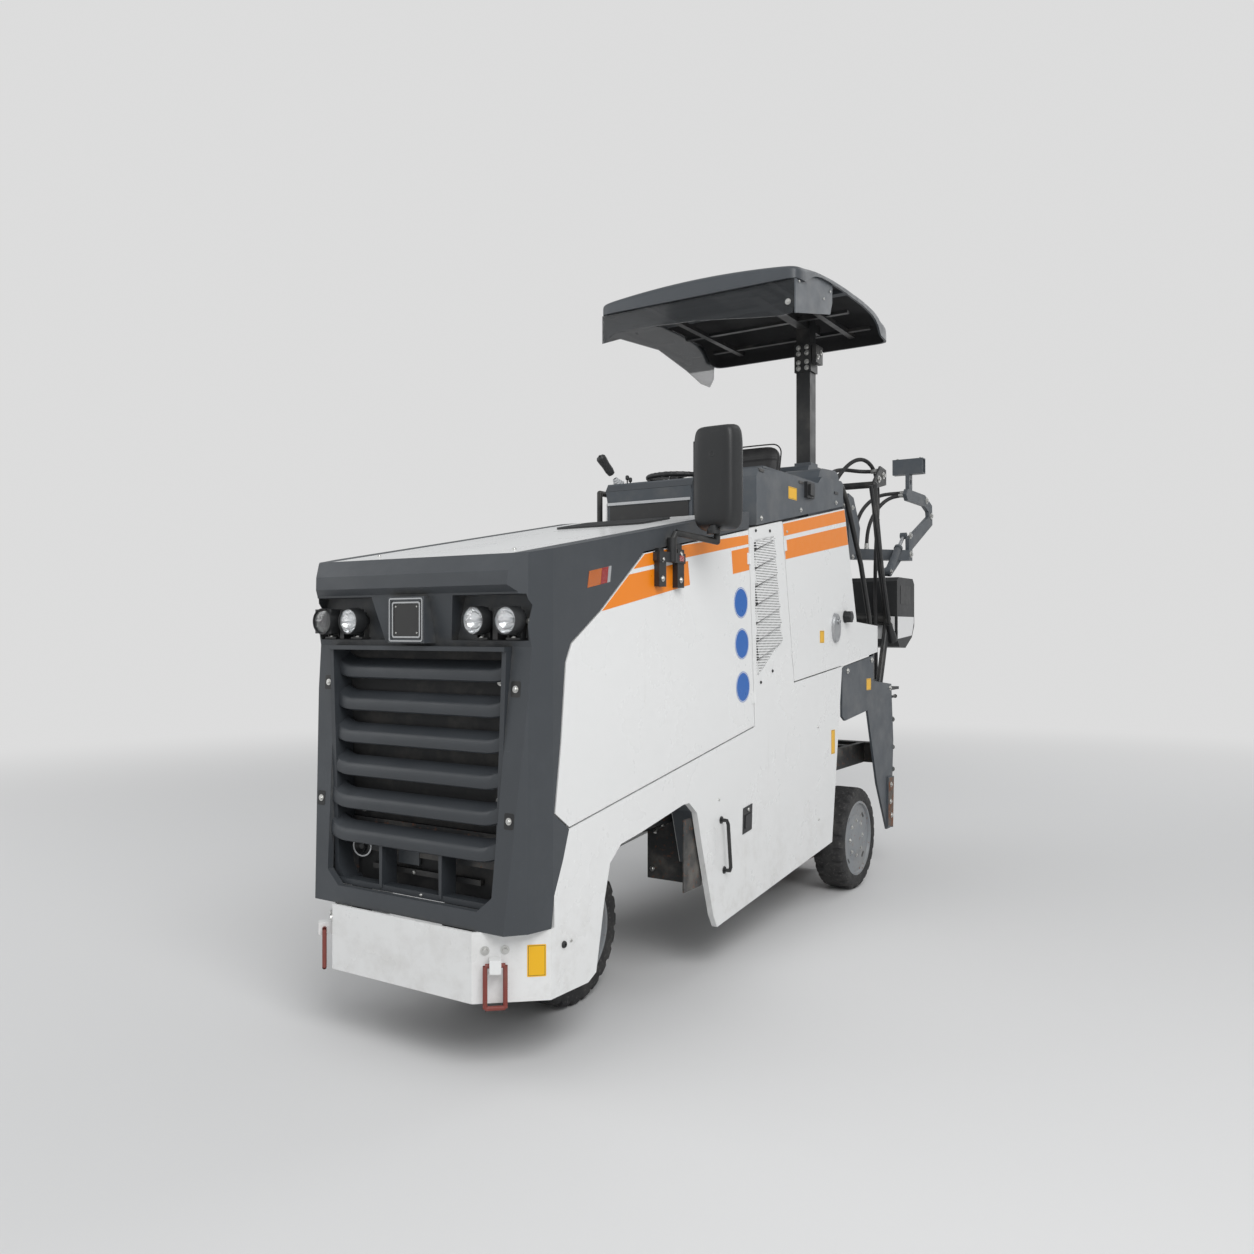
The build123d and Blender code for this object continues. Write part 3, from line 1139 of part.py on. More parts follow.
# ---------------------------------------------------------------- lashing rings
for side, sign in SIDES:
    along = (sign * cos(CHAMFER_ANGLE), sin(CHAMFER_ANGLE), 0)
    outward = (sign * sin(CHAMFER_ANGLE), -cos(CHAMFER_ANGLE), 0)
    centre = (
        sign * BUMPER_HALF + along[0] * RING_ALONG + outward[0] * RING_OUT,
        FRONT + along[1] * RING_ALONG + outward[1] * RING_OUT,
        RING_Z,
    )
    with BuildPart() as lashing_ring:
        with BuildLine(Plane(centre, x_dir=along, z_dir=outward)) as ring_path:
            rise = 1 if sign > 0 else -1
            Polyline([
                (0, 0), (RING_HALF, 0), (RING_HALF, -rise * RING_DROP), (-RING_HALF, -rise * RING_DROP),
                (-RING_HALF, 0), (0, 0),
            ])
        with BuildSketch(Plane(centre, z_dir=along)):
            Circle(RING_ROD)
        sweep(transition=Transition.ROUND)
    lashing_ring.part.label = f"{side}_lashing_ring"
    export_step(lashing_ring.part, f"parts/{side}_lashing_ring.step")
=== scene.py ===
"""Looks of the wheeled cold planer: finishes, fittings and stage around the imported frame.

The row frame is in metres: +X is the machine's left, -Y its front, +Z up. Sizes here are in
millimetres, and places are (x, d, z), where d is the distance behind the bumper's face.
"""

import math

import bmesh
import bpy
from mathutils import Matrix, Vector


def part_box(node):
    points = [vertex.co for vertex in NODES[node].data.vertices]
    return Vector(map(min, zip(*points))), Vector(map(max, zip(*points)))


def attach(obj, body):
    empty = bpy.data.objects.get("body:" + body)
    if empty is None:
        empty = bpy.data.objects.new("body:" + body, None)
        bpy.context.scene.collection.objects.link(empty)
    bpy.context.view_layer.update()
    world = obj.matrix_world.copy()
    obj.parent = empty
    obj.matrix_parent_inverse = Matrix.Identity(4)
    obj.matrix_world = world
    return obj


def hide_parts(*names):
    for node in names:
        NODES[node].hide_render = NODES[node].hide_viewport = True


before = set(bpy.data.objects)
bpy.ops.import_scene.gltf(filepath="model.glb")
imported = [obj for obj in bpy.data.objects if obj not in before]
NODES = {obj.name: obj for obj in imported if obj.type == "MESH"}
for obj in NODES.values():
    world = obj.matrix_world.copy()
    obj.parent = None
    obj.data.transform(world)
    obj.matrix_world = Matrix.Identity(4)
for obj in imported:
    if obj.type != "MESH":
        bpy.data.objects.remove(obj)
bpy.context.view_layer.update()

# ---- places shared with the frame
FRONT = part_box("front_bumper")[0].y          # the bumper's front face, in metres
SIDES = (("left", 1), ("right", -1))
FLANK = 610.0                                # outer face of the body
SLOPE = 0.18                                 # hood and belt line climb this much towards the rear
GRILLE_LEAN = 0.081                          # the front's face leans back this much,
GRILLE_LEAN_FOOT = 556                       # from this height up
CHAMFER_OUT = (0.6627, -0.7489, 0.0)         # the bumper's left chamfer faces this way
CHAMFER_WIDTH, CHAMFER_DEPTH, CHAMFER_LENGTH = 226, 200, 302


def at(x, d, z):
    """Point of the row frame, in metres."""
    return Vector((x / 1000, FRONT + d / 1000, z / 1000))


def belt_z(d):
    """Height of the belt line along the top of the side doors."""
    return 1892.0 + SLOPE * d


def leaned(d, z):
    """Distance of a point on the front's leaning face, d at the face's foot."""
    return d + GRILLE_LEAN * (z - GRILLE_LEAN_FOOT)


def place(origin, normal, up=(0, 0, 1)):
    """Matrix with its Z axis along normal and its Y axis near up."""
    z = Vector(normal).normalized()
    x = Vector(up).cross(z)
    if x.length < 1e-4:
        x = Vector((1, 0, 0))
    x.normalize()
    return Matrix.Translation(origin) @ Matrix((x, z.cross(x), z)).transposed().to_4x4()


def ahead(x, d, z):
    return place(at(x, d, z), (0, -1, 0))


def astern(x, d, z):
    return place(at(x, d, z), (0, 1, 0))


def above(x, d, z):
    return place(at(x, d, z), (0, 0, 1))


def aside(x, d, z, sign=1):
    return place(at(x, d, z), (sign, 0, 0))


def outward(sign, d, z, lift=0.0):
    """Matrix on the flank, looking out of it."""
    return aside(sign * (FLANK + lift), d, z, sign)


def move(x=0, y=0, z=0):
    return Matrix.Translation((x / 1000, y / 1000, z / 1000))


def turned(degrees, axis="Z"):
    return Matrix.Rotation(math.radians(degrees), 4, axis)


def link_new(name, data):
    """New object of the scene."""
    made = bpy.data.objects.new(name, data)
    bpy.context.scene.collection.objects.link(made)
    return made


# ---- materials
def fill_sockets(tree, node, sockets):
    """Sets sockets to numbers, colours or other nodes' outputs."""
    for socket, value in sockets.items():
        if isinstance(value, bpy.types.NodeSocket):
            tree.links.new(value, node.inputs[socket])
        else:
            node.inputs[socket].default_value = value
    return node


class Finish:
    """A Principled material and short ways to add procedural detail to it."""

    def __init__(self, name, colour, rough=0.5, metallic=0.0, coat=0.0):
        self.material = bpy.data.materials.new(name)
        self.material.use_nodes = True
        self.tree = self.material.node_tree
        self.shader = self.tree.nodes["Principled BSDF"]
        self.colour = (*colour, 1.0)
        self.set({"Base Color": self.colour, "Roughness": rough, "Metallic": metallic, "Coat Weight": coat})
        self.coords = self.add("TexCoord").outputs["Object"]
        self.normal = None

    def set(self, sockets):
        fill_sockets(self.tree, self.shader, sockets)
        return self

    def add(self, kind, sockets={}, **values):
        node = self.tree.nodes.new("ShaderNode" + kind)
        for key, value in values.items():
            setattr(node, key, value)
        return fill_sockets(self.tree, node, sockets)

    def noise(self, scale, detail=3.0, rough=0.5, stretch=(1, 1, 1)):
        spot = self.add("Mapping", {"Vector": self.coords, "Scale": stretch}).outputs["Vector"]
        sockets = {"Vector": spot, "Scale": scale, "Detail": detail, "Roughness": rough}
        return self.add("TexNoise", sockets).outputs["Fac"]

    def cells(self, scale):
        return self.add("TexVoronoi", {"Vector": self.coords, "Scale": scale}).outputs["Distance"]

    def waves(self, scale, direction):
        sockets = {"Vector": self.coords, "Scale": scale}
        return self.add("TexWave", sockets, bands_direction=direction).outputs["Fac"]

    def math(self, operation, a, b):
        return self.add("Math", {0: a, 1: b}, operation=operation).outputs[0]

    def vector(self, operation, a, b=(0, 0, 0)):
        outputs = self.add("VectorMath", {0: a, 1: b}, operation=operation).outputs
        return outputs["Value" if operation == "LENGTH" else "Vector"]

    def band(self, value, low, high, out_low=0.0, out_high=1.0):
        """Maps value from low..high to out_low..out_high, smoothly and clamped."""
        sockets = {"Value": value, "From Min": low, "From Max": high, "To Min": out_low, "To Max": out_high}
        return self.add("MapRange", sockets, interpolation_type="SMOOTHSTEP").outputs["Result"]

    def tint(self, mask, colour):
        """Mixes colour over what is there now, where mask is 1."""
        base = self.shader.inputs["Base Color"]
        below = base.links[0].from_socket if base.is_linked else self.colour
        mix = self.add("Mix", {"Factor": mask, 6: below, 7: (*colour, 1.0)}, data_type="RGBA")
        return self.set({"Base Color": mix.outputs[2]})

    def wear(self, value, low, high, share, colour):
        """Tints a share of colour in, where value rises from low to high."""
        return self.tint(self.math("MULTIPLY", self.band(value, low, high), share), colour)

    def rough(self, mask, low, high):
        return self.set({"Roughness": self.band(mask, 0.0, 1.0, low, high)})

    def bump(self, height, distance, strength=1.0):
        sockets = {"Distance": distance / 1000, "Strength": strength, "Height": height}
        if self.normal is not None:
            sockets["Normal"] = self.normal
        self.normal = self.add("Bump", sockets).outputs["Normal"]
        return self.set({"Normal": self.normal})

    def crevices(self, reach, colour, strength):
        """Dust or grime where surfaces meet."""
        shade = self.add("AmbientOcclusion", {"Distance": reach / 1000}, samples=8).outputs["AO"]
        hidden = self.math("SUBTRACT", 1.0, self.band(shade, 0.35, 0.95))
        patchy = self.math("MULTIPLY", hidden, self.band(self.noise(23, 4), 0.3, 0.7, 0.3, 1.0))
        return self.tint(self.math("MULTIPLY", patchy, strength), colour)


DUST = (0.36, 0.33, 0.29)


def sprayed(name, colour, rough):
    """Glossy panel paint: faint orange peel, uneven gloss, dust towards the ground."""
    f = Finish(name, colour, rough, coat=0.25).set({"Coat Roughness": 0.12})
    f.bump(f.noise(420, 1), 0.25, 0.12).bump(f.noise(2.2, 2), 1.2, 0.25)
    f.rough(f.noise(3.1, 5, 0.6), rough - 0.08, rough + 0.16)
    height = f.add("SeparateXYZ", {0: f.coords}).outputs["Z"]
    dirt = f.math("MULTIPLY", f.band(height, 0.95, 0.25), f.band(f.noise(9, 6, 0.65), 0.42, 0.72))
    f.tint(f.math("MULTIPLY", dirt, 0.22), DUST)
    return f.wear(f.noise(14, 5, 0.6, (1, 1, 0.09)), 0.60, 0.80, 0.10, DUST)


def moulded(name, colour, rough=0.5, grain=900, depth=0.35):
    """Textured plastic: fine leather-like grain, slight chalking and scuffs."""
    f = Finish(name, colour, rough)
    f.bump(f.cells(grain), depth, 0.35).bump(f.noise(5, 2), 0.8, 0.2)
    f.rough(f.noise(6, 6, 0.6), rough - 0.1, rough + 0.14)
    f.wear(f.noise(2.4, 7, 0.65), 0.45, 0.75, 0.22, [min(1.0, c * 1.7 + 0.02) for c in colour])
    return f.wear(f.noise(34, 8, 0.7, (0.25, 1, 1.6)), 0.63, 0.74, 0.25, [c * 2.2 + 0.03 for c in colour])


def coated(name, colour, rough=0.45, rust=0.0, dust=0.25):
    """Painted steel: satin, dusty, with chips that rust."""
    f = Finish(name, colour, rough)
    f.bump(f.noise(160), 0.4, 0.25).rough(f.noise(8, 6, 0.6), rough - 0.1, rough + 0.2)
    f.wear(f.noise(6, 7, 0.62), 0.42, 0.75, dust, DUST)
    if rust:
        chips = f.band(f.noise(46, 9, 0.7), 0.60 - 0.1 * rust, 0.66 - 0.05 * rust)
        f.tint(f.math("MULTIPLY", chips, 0.85), (0.17, 0.065, 0.03)).bump(chips, 0.6, 0.4)
    return f


def bright(name, colour, rough=0.2):
    """Bare bright metal, a little dull in patches."""
    f = Finish(name, colour, rough, metallic=1.0)
    f.rough(f.noise(40, 4, 0.6), rough - 0.08, rough + 0.18).bump(f.noise(220, 2), 0.2, 0.2)
    return f.wear(f.noise(11, 6), 0.55, 0.8, 0.35, (0.20, 0.18, 0.16))


def bare_steel(name):
    """Wear steel with asphalt dust and orange rust."""
    f = Finish(name, (0.17, 0.15, 0.135), 0.6, metallic=0.55)
    f.tint(f.band(f.noise(17, 8, 0.68), 0.40, 0.62), (0.23, 0.10, 0.05))
    f.wear(f.noise(60, 6, 0.7), 0.5, 0.7, 0.6, (0.05, 0.045, 0.042))
    return f.rough(f.noise(30, 6), 0.45, 0.9).bump(f.noise(90, 8, 0.7), 1.8, 0.7)


def solid_rubber(name):
    """Solid press-on tyre: scuffed, greyed, with chunked grain."""
    f = Finish(name, (0.022, 0.022, 0.023), 0.78)
    f.wear(f.noise(7, 8, 0.65), 0.38, 0.75, 0.55, (0.10, 0.096, 0.09))
    f.wear(f.noise(70, 6), 0.55, 0.72, 0.4, (0.16, 0.15, 0.14))
    return f.rough(f.noise(20, 4), 0.66, 0.95).bump(f.noise(120, 8, 0.7), 1.6, 0.6)


def clear(name, colour, rough, alpha, transmission):
    f = Finish(name, colour, rough).set({"Transmission Weight": transmission, "IOR": 1.45, "Alpha": alpha})
    return f.bump(f.noise(30, 2), 0.2, 0.1)


def perforated(name, colour, pitch, hole):
    """Painted sheet with rows of round perforations, drawn as dark discs of painted shade rather than cut;
    hole is their radius.
    """
    f = sprayed(name, colour, 0.30)
    cell = f.vector("FRACTION", f.vector("MULTIPLY", f.coords, [1000 / pitch] * 3))
    centred = f.vector("MULTIPLY", f.vector("SUBTRACT", cell, (0.5, 0.5, 0.5)), (0, 1, 1))
    hole_shade = f.band(f.vector("LENGTH", centred), hole / pitch + 0.05, hole / pitch - 0.05)
    # dark discs: painted shade where the perforations are
    return f.tint(hole_shade, (0.012, 0.012, 0.013)).bump(f.math("SUBTRACT", 1.0, hole_shade), 2, 0.6)


def vinyl(name, colour, rough=0.35):
    """Printed sticker film: flat colour with slightly uneven gloss and scuffs."""
    f = Finish(name, colour, rough)
    f.rough(f.noise(24, 4), rough - 0.08, rough + 0.12).bump(f.noise(300, 1), 0.1, 0.1)
    return f.wear(f.noise(15, 6, 0.65), 0.55, 0.8, 0.18, [0.75 * c + 0.06 for c in colour])


def hose_cover(name):
    """Hydraulic hose: dull black with the weave of its wrap showing through."""
    f = Finish(name, (0.020, 0.020, 0.021), 0.55)
    f.bump(f.noise(260, 2, stretch=(1, 1, 0.35)), 0.6, 0.4).rough(f.noise(18, 5), 0.45, 0.75)
    return f.wear(f.noise(9, 6), 0.5, 0.8, 0.35, (0.09, 0.085, 0.08))


def seat_vinyl(name):
    """Grained black seat cover with dusty, polished patches."""
    f = Finish(name, (0.016, 0.016, 0.017), 0.5)
    f.bump(f.cells(520), 0.5, 0.5).bump(f.noise(14), 1.2, 0.25).rough(f.noise(7, 5), 0.38, 0.66)
    return f.wear(f.noise(5, 6), 0.45, 0.8, 0.3, (0.075, 0.072, 0.068))


def radiator_mesh(name):
    """Dark core behind the louvres: fine upright fins with fluff and dust."""
    f = Finish(name, (0.014, 0.015, 0.016), 0.65)
    fins = f.waves(60, "X")
    f.bump(fins, 2, 0.6).wear(fins, 0.6, 1.0, 0.4, (0.05, 0.05, 0.052))
    return f.wear(f.noise(8, 7, 0.65), 0.45, 0.7, 0.35, (0.10, 0.092, 0.08))


def deck_plate(name):
    """Anti-slip steel: raised lozenges, bright where boots rub them."""
    f = Finish(name, (0.11, 0.112, 0.115), 0.5, metallic=0.6)
    raised = f.band(f.cells(42), 0.32, 0.22)
    f.bump(raised, 1.8, 0.8).tint(f.math("MULTIPLY", raised, 0.45), (0.26, 0.26, 0.265))
    f.rough(f.noise(12, 6), 0.38, 0.75)
    return f.wear(f.noise(5, 7), 0.45, 0.75, 0.5, (0.15, 0.135, 0.115))


def lens(name, colour, alpha):
    """Moulded lamp lens with ribs inside."""
    f = Finish(name, colour, 0.08, coat=0.5).set({"Transmission Weight": 0.35, "Alpha": alpha})
    f.rough(f.noise(20), 0.05, 0.16)
    ribs = f.waves(95, "Z")
    return f.bump(ribs, 1.2, 0.7).tint(f.math("MULTIPLY", ribs, 0.25), [0.55 * c for c in colour])


WHITE = sprayed("white_panel", (0.80, 0.805, 0.80), 0.26).material
SLATE_MOULDED = moulded("slate_moulded", (0.047, 0.053, 0.060), 0.46).crevices(
    50, (0.20, 0.19, 0.17), 0.35
).material
# the slate plastic made darker for the grille bars: painted shade on their faces
GRILLE_SHADED = moulded("grille_moulded_painted_shade", (0.036, 0.041, 0.047), 0.42).material
SLATE_PAINT = coated("slate_paint", (0.070, 0.081, 0.093), 0.40, dust=0.12).material
FRAME_PAINT = coated("frame_paint", (0.030, 0.032, 0.034), 0.5, rust=0.3, dust=0.35).material
# black paint; also the painted shade in the wheel rims' slots
BLACK_PAINT_AND_SHADE = coated("black_paint", (0.016, 0.017, 0.018), 0.38, dust=0.12).material
BLACK_MOULDED = moulded("black_moulded", (0.018, 0.019, 0.020), 0.42, grain=700).material
CANOPY_SHELL = moulded("canopy_shell", (0.056, 0.063, 0.071), 0.40, grain=500).material
LINING = moulded("canopy_lining", (0.012, 0.012, 0.013), 0.8, grain=300, depth=0.6).material
RADIATOR = coated("radiator_core", (0.020, 0.021, 0.022), 0.6, dust=0.5).material
ENGINE = coated("engine_iron", (0.10, 0.105, 0.11), 0.55, rust=0.2, dust=0.3).material
CHROME = bright("chrome_rod", (0.72, 0.73, 0.75), 0.12).material
ZINC = bright("zinc_bolt", (0.62, 0.62, 0.60), 0.34).material
STEEL_WORN = bare_steel("worn_steel").material
RUBBER = solid_rubber("solid_tyre").material
RIM = coated("rim_paint", (0.23, 0.245, 0.26), 0.42, rust=0.15, dust=0.30).material
RING_RED = coated("ring_red", (0.21, 0.038, 0.028), 0.42, rust=0.25, dust=0.1).material
SMOKED = clear("smoked_screen", (0.055, 0.06, 0.065), 0.06, 0.72, 0.55).material
ORANGE = vinyl("orange_film", (0.86, 0.235, 0.004), 0.32).material
SIGN_BLUE = vinyl("blue_film", (0.003, 0.115, 0.45), 0.3).material
SIGN_WHITE = vinyl("white_film", (0.80, 0.80, 0.80)).material
SIGN_YELLOW = vinyl("yellow_film", (0.86, 0.47, 0.006)).material
# black film; also the painted shade under the flank vents' louvres
BLACK_FILM_AND_SHADE = vinyl("black_film_and_painted_shade", (0.02, 0.02, 0.02)).material
VENT_SHEET = perforated("vent_sheet", (0.78, 0.785, 0.78), 14.5, 4.2).material
HOSE = hose_cover("hose_cover").material
SEAT_COVER = seat_vinyl("seat_cover").material
MESH = radiator_mesh("radiator_mesh").material
DECK = deck_plate("deck_plate").material
LINER = moulded("arch_liner", (0.075, 0.085, 0.095), 0.55, grain=500).material
GLASS = clear("lamp_glass", (0.93, 0.95, 0.96), 0.03, 0.28, 0.95).material
REFLECTOR = bright("reflector", (0.86, 0.87, 0.88), 0.10).material
MIRROR_GLASS = bright("mirror_glass", (0.62, 0.65, 0.67), 0.05).material
LENS_ORANGE = lens("lens_orange", (0.90, 0.20, 0.005), 0.95).material
LENS_RED = lens("lens_red", (0.55, 0.012, 0.008), 0.95).material
LENS_CLEAR = lens("lens_clear", (0.75, 0.77, 0.78), 0.85).material
GREY_BOOT = moulded("grey_boot", (0.42, 0.43, 0.44), 0.5, grain=400).material
CAP_METAL = bright("cap_metal", (0.48, 0.49, 0.50), 0.36).material

NODE_FINISH = {
    WHITE: (
        "front_bumper hood left_engine_door right_engine_door left_rear_door left_skirt right_skirt"
        " right_rear_panel"
    ),
    SLATE_MOULDED: "front_fascia grille badge_plate",
    SLATE_PAINT: (
        "left_side_box console rear_cabinet tank_body left_side_plate right_side_plate canopy_mast"
        " conveyor_carrier left_canopy_screen"
    ),
    FRAME_PAINT: "main_frame front_bogie",
    DECK: "platform_deck access_steps",
    BLACK_PAINT_AND_SHADE: "rear_frame left_grab_rail right_handrail steering_barrel canopy_post mirror_arm",
    BLACK_MOULDED: "left_mirror rear_light_box steering_wheel",
    CANOPY_SHELL: "canopy_roof",
    RADIATOR: "radiator",
    ENGINE: "engine_block",
    CHROME: "steering_rod left_rear_leg right_rear_leg",
    STEEL_WORN: "milling_drum drum_housing",
    RIM: "front_left_rim front_right_rim rear_left_rim rear_right_rim",
    RING_RED: "left_lashing_ring right_lashing_ring",
    SMOKED: "right_canopy_screen",
}
for material, names in NODE_FINISH.items():
    for name in names.split():
        NODES[name].data.materials.clear()
        NODES[name].data.materials.append(material)


def soften(node, width, segments=3, angle=28.0, clamp=True):
    """Rounds a CAD node's edges by this width, without touching its mesh."""
    o = NODES[node]
    flat = o.modifiers.new("merge_flats", "DECIMATE")
    flat.decimate_type = "DISSOLVE"
    flat.angle_limit = math.radians(0.4)
    bevel = o.modifiers.new("round_edges", "BEVEL")
    bevel.width = width / 1000
    bevel.segments = segments
    bevel.limit_method = "ANGLE"
    bevel.angle_limit = math.radians(angle)
    bevel.harden_normals = True
    bevel.use_clamp_overlap = clamp
    for polygon in o.data.polygons:
        polygon.use_smooth = True


SOFT_EDGES = {
    5: "front_bumper grille hood left_side_box",
    3: "left_engine_door right_engine_door left_rear_door",
    4: "left_skirt right_skirt right_rear_panel console rear_cabinet rear_light_box canopy_roof",
    2: "badge_plate left_side_plate right_side_plate conveyor_carrier access_steps",
}
for width, names in SOFT_EDGES.items():
    for name in names.split():
        soften(name, width)
soften("front_fascia", 16, 4, 24.0, clamp=False)


# ---- fittings
def skin(part, loops):
    """Faces between closed rows of vertices that follow each other."""
    for a, b in zip(loops, loops[1:]):
        for i in range(len(a)):
            part.faces.new((a[i - 1], a[i], b[i], b[i - 1]))


ROUNDED_TURN = math.radians(25)


class Fitting:
    """Closed forms gathered into one object that rides on a body."""

    def __init__(self, name, body, slot):
        self.name = name
        self.body = body
        self.slot = slot
        self.materials = []
        self.bm = bmesh.new()

    def use(self, material):
        """Material for what is added next."""
        if material not in self.materials:
            self.materials.append(material)
        self.index = self.materials.index(material)
        return self

    def merge(self, part, rounding=0.0, segments=2, turn_faces=True):
        """Adds a form, with its edges rounded where they turn by more than ROUNDED_TURN."""
        if rounding:
            edges = [e for e in part.edges if e.calc_face_angle(0.0) > ROUNDED_TURN]
            bmesh.ops.bevel(
                part, geom=edges, offset=rounding / 1000, segments=segments, profile=0.5, affect="EDGES",
                clamp_overlap=True,
            )
        if turn_faces:
            bmesh.ops.recalc_face_normals(part, faces=part.faces)
        copies = {v: self.bm.verts.new(v.co) for v in part.verts}
        for face in part.faces:
            new = self.bm.faces.new([copies[v] for v in face.verts])
            new.material_index = self.index
            new.smooth = True
        part.free()
        return self

    def loft(self, low, high, rounding=0.0, segments=2):
        """Closed form between two flat outlines with as many corners."""
        part = bmesh.new()
        loops = [[part.verts.new(p) for p in outline] for outline in (low, high)]
        part.faces.new(loops[0][::-1])
        part.faces.new(loops[1])
        skin(part, loops)
        return self.merge(part, rounding, segments)

    def prism(self, outline, along, rounding=0.0):
        """Flat outline pushed along a vector."""
        push = Vector(along) / 1000
        return self.loft(outline, [Vector(p) + push for p in outline], rounding)

    def along_x(self, x, outline, depth, rounding=0.0):
        """Outline of (distance, height) at x, pushed along X."""
        return self.prism([at(x, d, z) for d, z in outline], (depth, 0, 0), rounding)

    def along_y(self, d, outline, depth, rounding=0.0):
        """Outline of (x, height) at a distance, pushed along Y."""
        return self.prism([at(x, d, z) for x, z in outline], (0, depth, 0), rounding)

    def block(self, low, high, rounding=2.0):
        """Box between two corners."""
        (x0, d0, z0), (x1, d1, z1) = low, high
        outline = [at(x0, d0, z0), at(x1, d0, z0), at(x1, d1, z0), at(x0, d1, z0)]
        return self.prism(outline, (0, 0, z1 - z0), rounding)

    def pad(self, where, width, height, depth, rounding=0.0):
        """Box on the XY plane of a matrix, centred there, rising along its Z."""
        w, h = width / 2000, height / 2000
        outline = [where @ Vector(p) for p in ((-w, -h, 0), (w, -h, 0), (w, h, 0), (-w, h, 0))]
        return self.prism(outline, where.to_3x3() @ Vector((0, 0, depth)), rounding)

    def slab(self, where, width, height, radius, depth, rounding=0.0, steps=5):
        """Pad with round corners."""
        outline = rounded(where, width, height, radius, steps)
        return self.prism(outline, where.to_3x3() @ Vector((0, 0, depth)), rounding)

    def ring(self, outer, inner, along):
        """Frame between two outlines with as many corners, pushed along a vector."""
        part = bmesh.new()
        push = Vector(along) / 1000
        low_out, low_in, high_out, high_in = [
            [part.verts.new(Vector(p) + lift) for p in loop]
            for lift in (Vector(), push) for loop in (outer, inner)
        ]
        for pair in ((low_out, low_in), (high_in, high_out), (low_in, high_in), (high_out, low_out)):
            skin(part, pair)
        return self.merge(part)

    def rim(self, where, outer, inner, depth):
        """Frame between two rounded rectangles, each (width, height, corner radius)."""
        push = where.to_3x3() @ Vector((0, 0, depth))
        return self.ring(rounded(where, *outer), rounded(where, *inner), push)

    def lathe(self, profile, where, segments=28):
        """Turned form from rows of (radius, height) along the matrix's Z axis."""
        part = bmesh.new()
        rings = []
        for radius, height in profile:
            count = segments if radius else 1
            spokes = [2 * math.pi * i / count for i in range(count)]
            rings.append([
                part.verts.new(where @ Vector(
                    (radius * math.cos(a) / 1000, radius * math.sin(a) / 1000, height / 1000)
                ))
                for a in spokes
            ])
        for low, high in zip(rings, rings[1:]):
            for i in range(segments):
                j = i + 1
                corners = [low[i % len(low)], low[j % len(low)], high[j % len(high)], high[i % len(high)]]
                corners = list(dict.fromkeys(corners))
                if len(corners) > 2:
                    part.faces.new(corners)
        return self.merge(part)

    def disc(self, where, radius, height, segments=28, foot=0):
        return self.lathe([(0, foot), (radius, foot), (radius, height), (0, height)], where, segments)

    def tube(self, points, radius, order=3, closed=False):
        """Round bar that follows a smooth line near these points."""
        curve = bpy.data.curves.new("bar", "CURVE")
        curve.dimensions = "3D"
        curve.bevel_depth = radius / 1000
        curve.bevel_resolution = 3
        curve.resolution_u = 5
        curve.use_fill_caps = not closed
        spline = curve.splines.new("NURBS")
        spline.points.add(len(points) - 1)
        for point, co in zip(spline.points, points):
            point.co = (*co, 1.0)
        spline.order_u = order
        spline.use_cyclic_u = closed
        spline.use_endpoint_u = not closed
        holder = bpy.data.objects.new("bar", curve)
        mesh = bpy.data.meshes.new_from_object(holder)
        part = bmesh.new()
        part.from_mesh(mesh)
        bpy.data.objects.remove(holder)
        bpy.data.curves.remove(curve)
        bpy.data.meshes.remove(mesh)
        return self.merge(part)

    def bolt(self, where, radius=9.0):
        """Hexagon bolt head on its washer."""
        r = radius
        self.disc(where, 1.75 * r, 0.25 * r, 20)
        return self.lathe([(0, 0.2 * r), (r, 0.2 * r), (r, 0.85 * r), (0.84 * r, r), (0, r)], where, 6)

    def screw(self, where, radius=7.0):
        """Round-headed screw with a hollow drive."""
        r = radius
        profile = [
            (0, 0), (r, 0), (r, 0.3 * r), (0.8 * r, 0.62 * r), (0.42 * r, 0.75 * r), (0.36 * r, 0.3 * r),
            (0, 0.3 * r),
        ]
        return self.lathe(profile, where, 18)

    def done(self, sharp=32.0, stands_for=()):
        mesh = bpy.data.meshes.new(self.name)
        self.bm.to_mesh(mesh)
        self.bm.free()
        for material in self.materials:
            mesh.materials.append(material)
        mesh.set_sharp_from_angle(angle=math.radians(sharp))
        piece = link_new(self.name, mesh)
        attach(piece, self.body)
        if stands_for:
            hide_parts(*stands_for)


def trim(outline, first, second, margin=0.0):
    """Cuts a flat outline at the line from first to second, and keeps its right-hand side."""
    run = Vector(second) - Vector(first)
    out = Vector((-run.y, run.x)).normalized()

    def depth(point):
        return -(Vector(point) - Vector(first)).dot(out) - margin

    kept = []
    for a, b in zip(outline, outline[1:] + outline[:1]):
        da, db = depth(a), depth(b)
        if da >= 0:
            kept.append(tuple(a))
        if da * db < 0:
            kept.append(tuple(Vector(a).lerp(Vector(b), da / (da - db))))
    return kept


def rounded(where, width, height, radius, steps=5):
    """Rounded rectangle on the XY plane of a matrix, centred there."""
    points = []
    for corner, (sx, sy) in enumerate(((1, 1), (-1, 1), (-1, -1), (1, -1))):
        for step in range(steps + 1):
            spoke = math.pi / 2 * (corner + step / steps)
            x = sx * (width / 2 - radius) + radius * math.cos(spoke)
            y = sy * (height / 2 - radius) + radius * math.sin(spoke)
            points.append(where @ Vector((x / 1000, y / 1000, 0)))
    return points


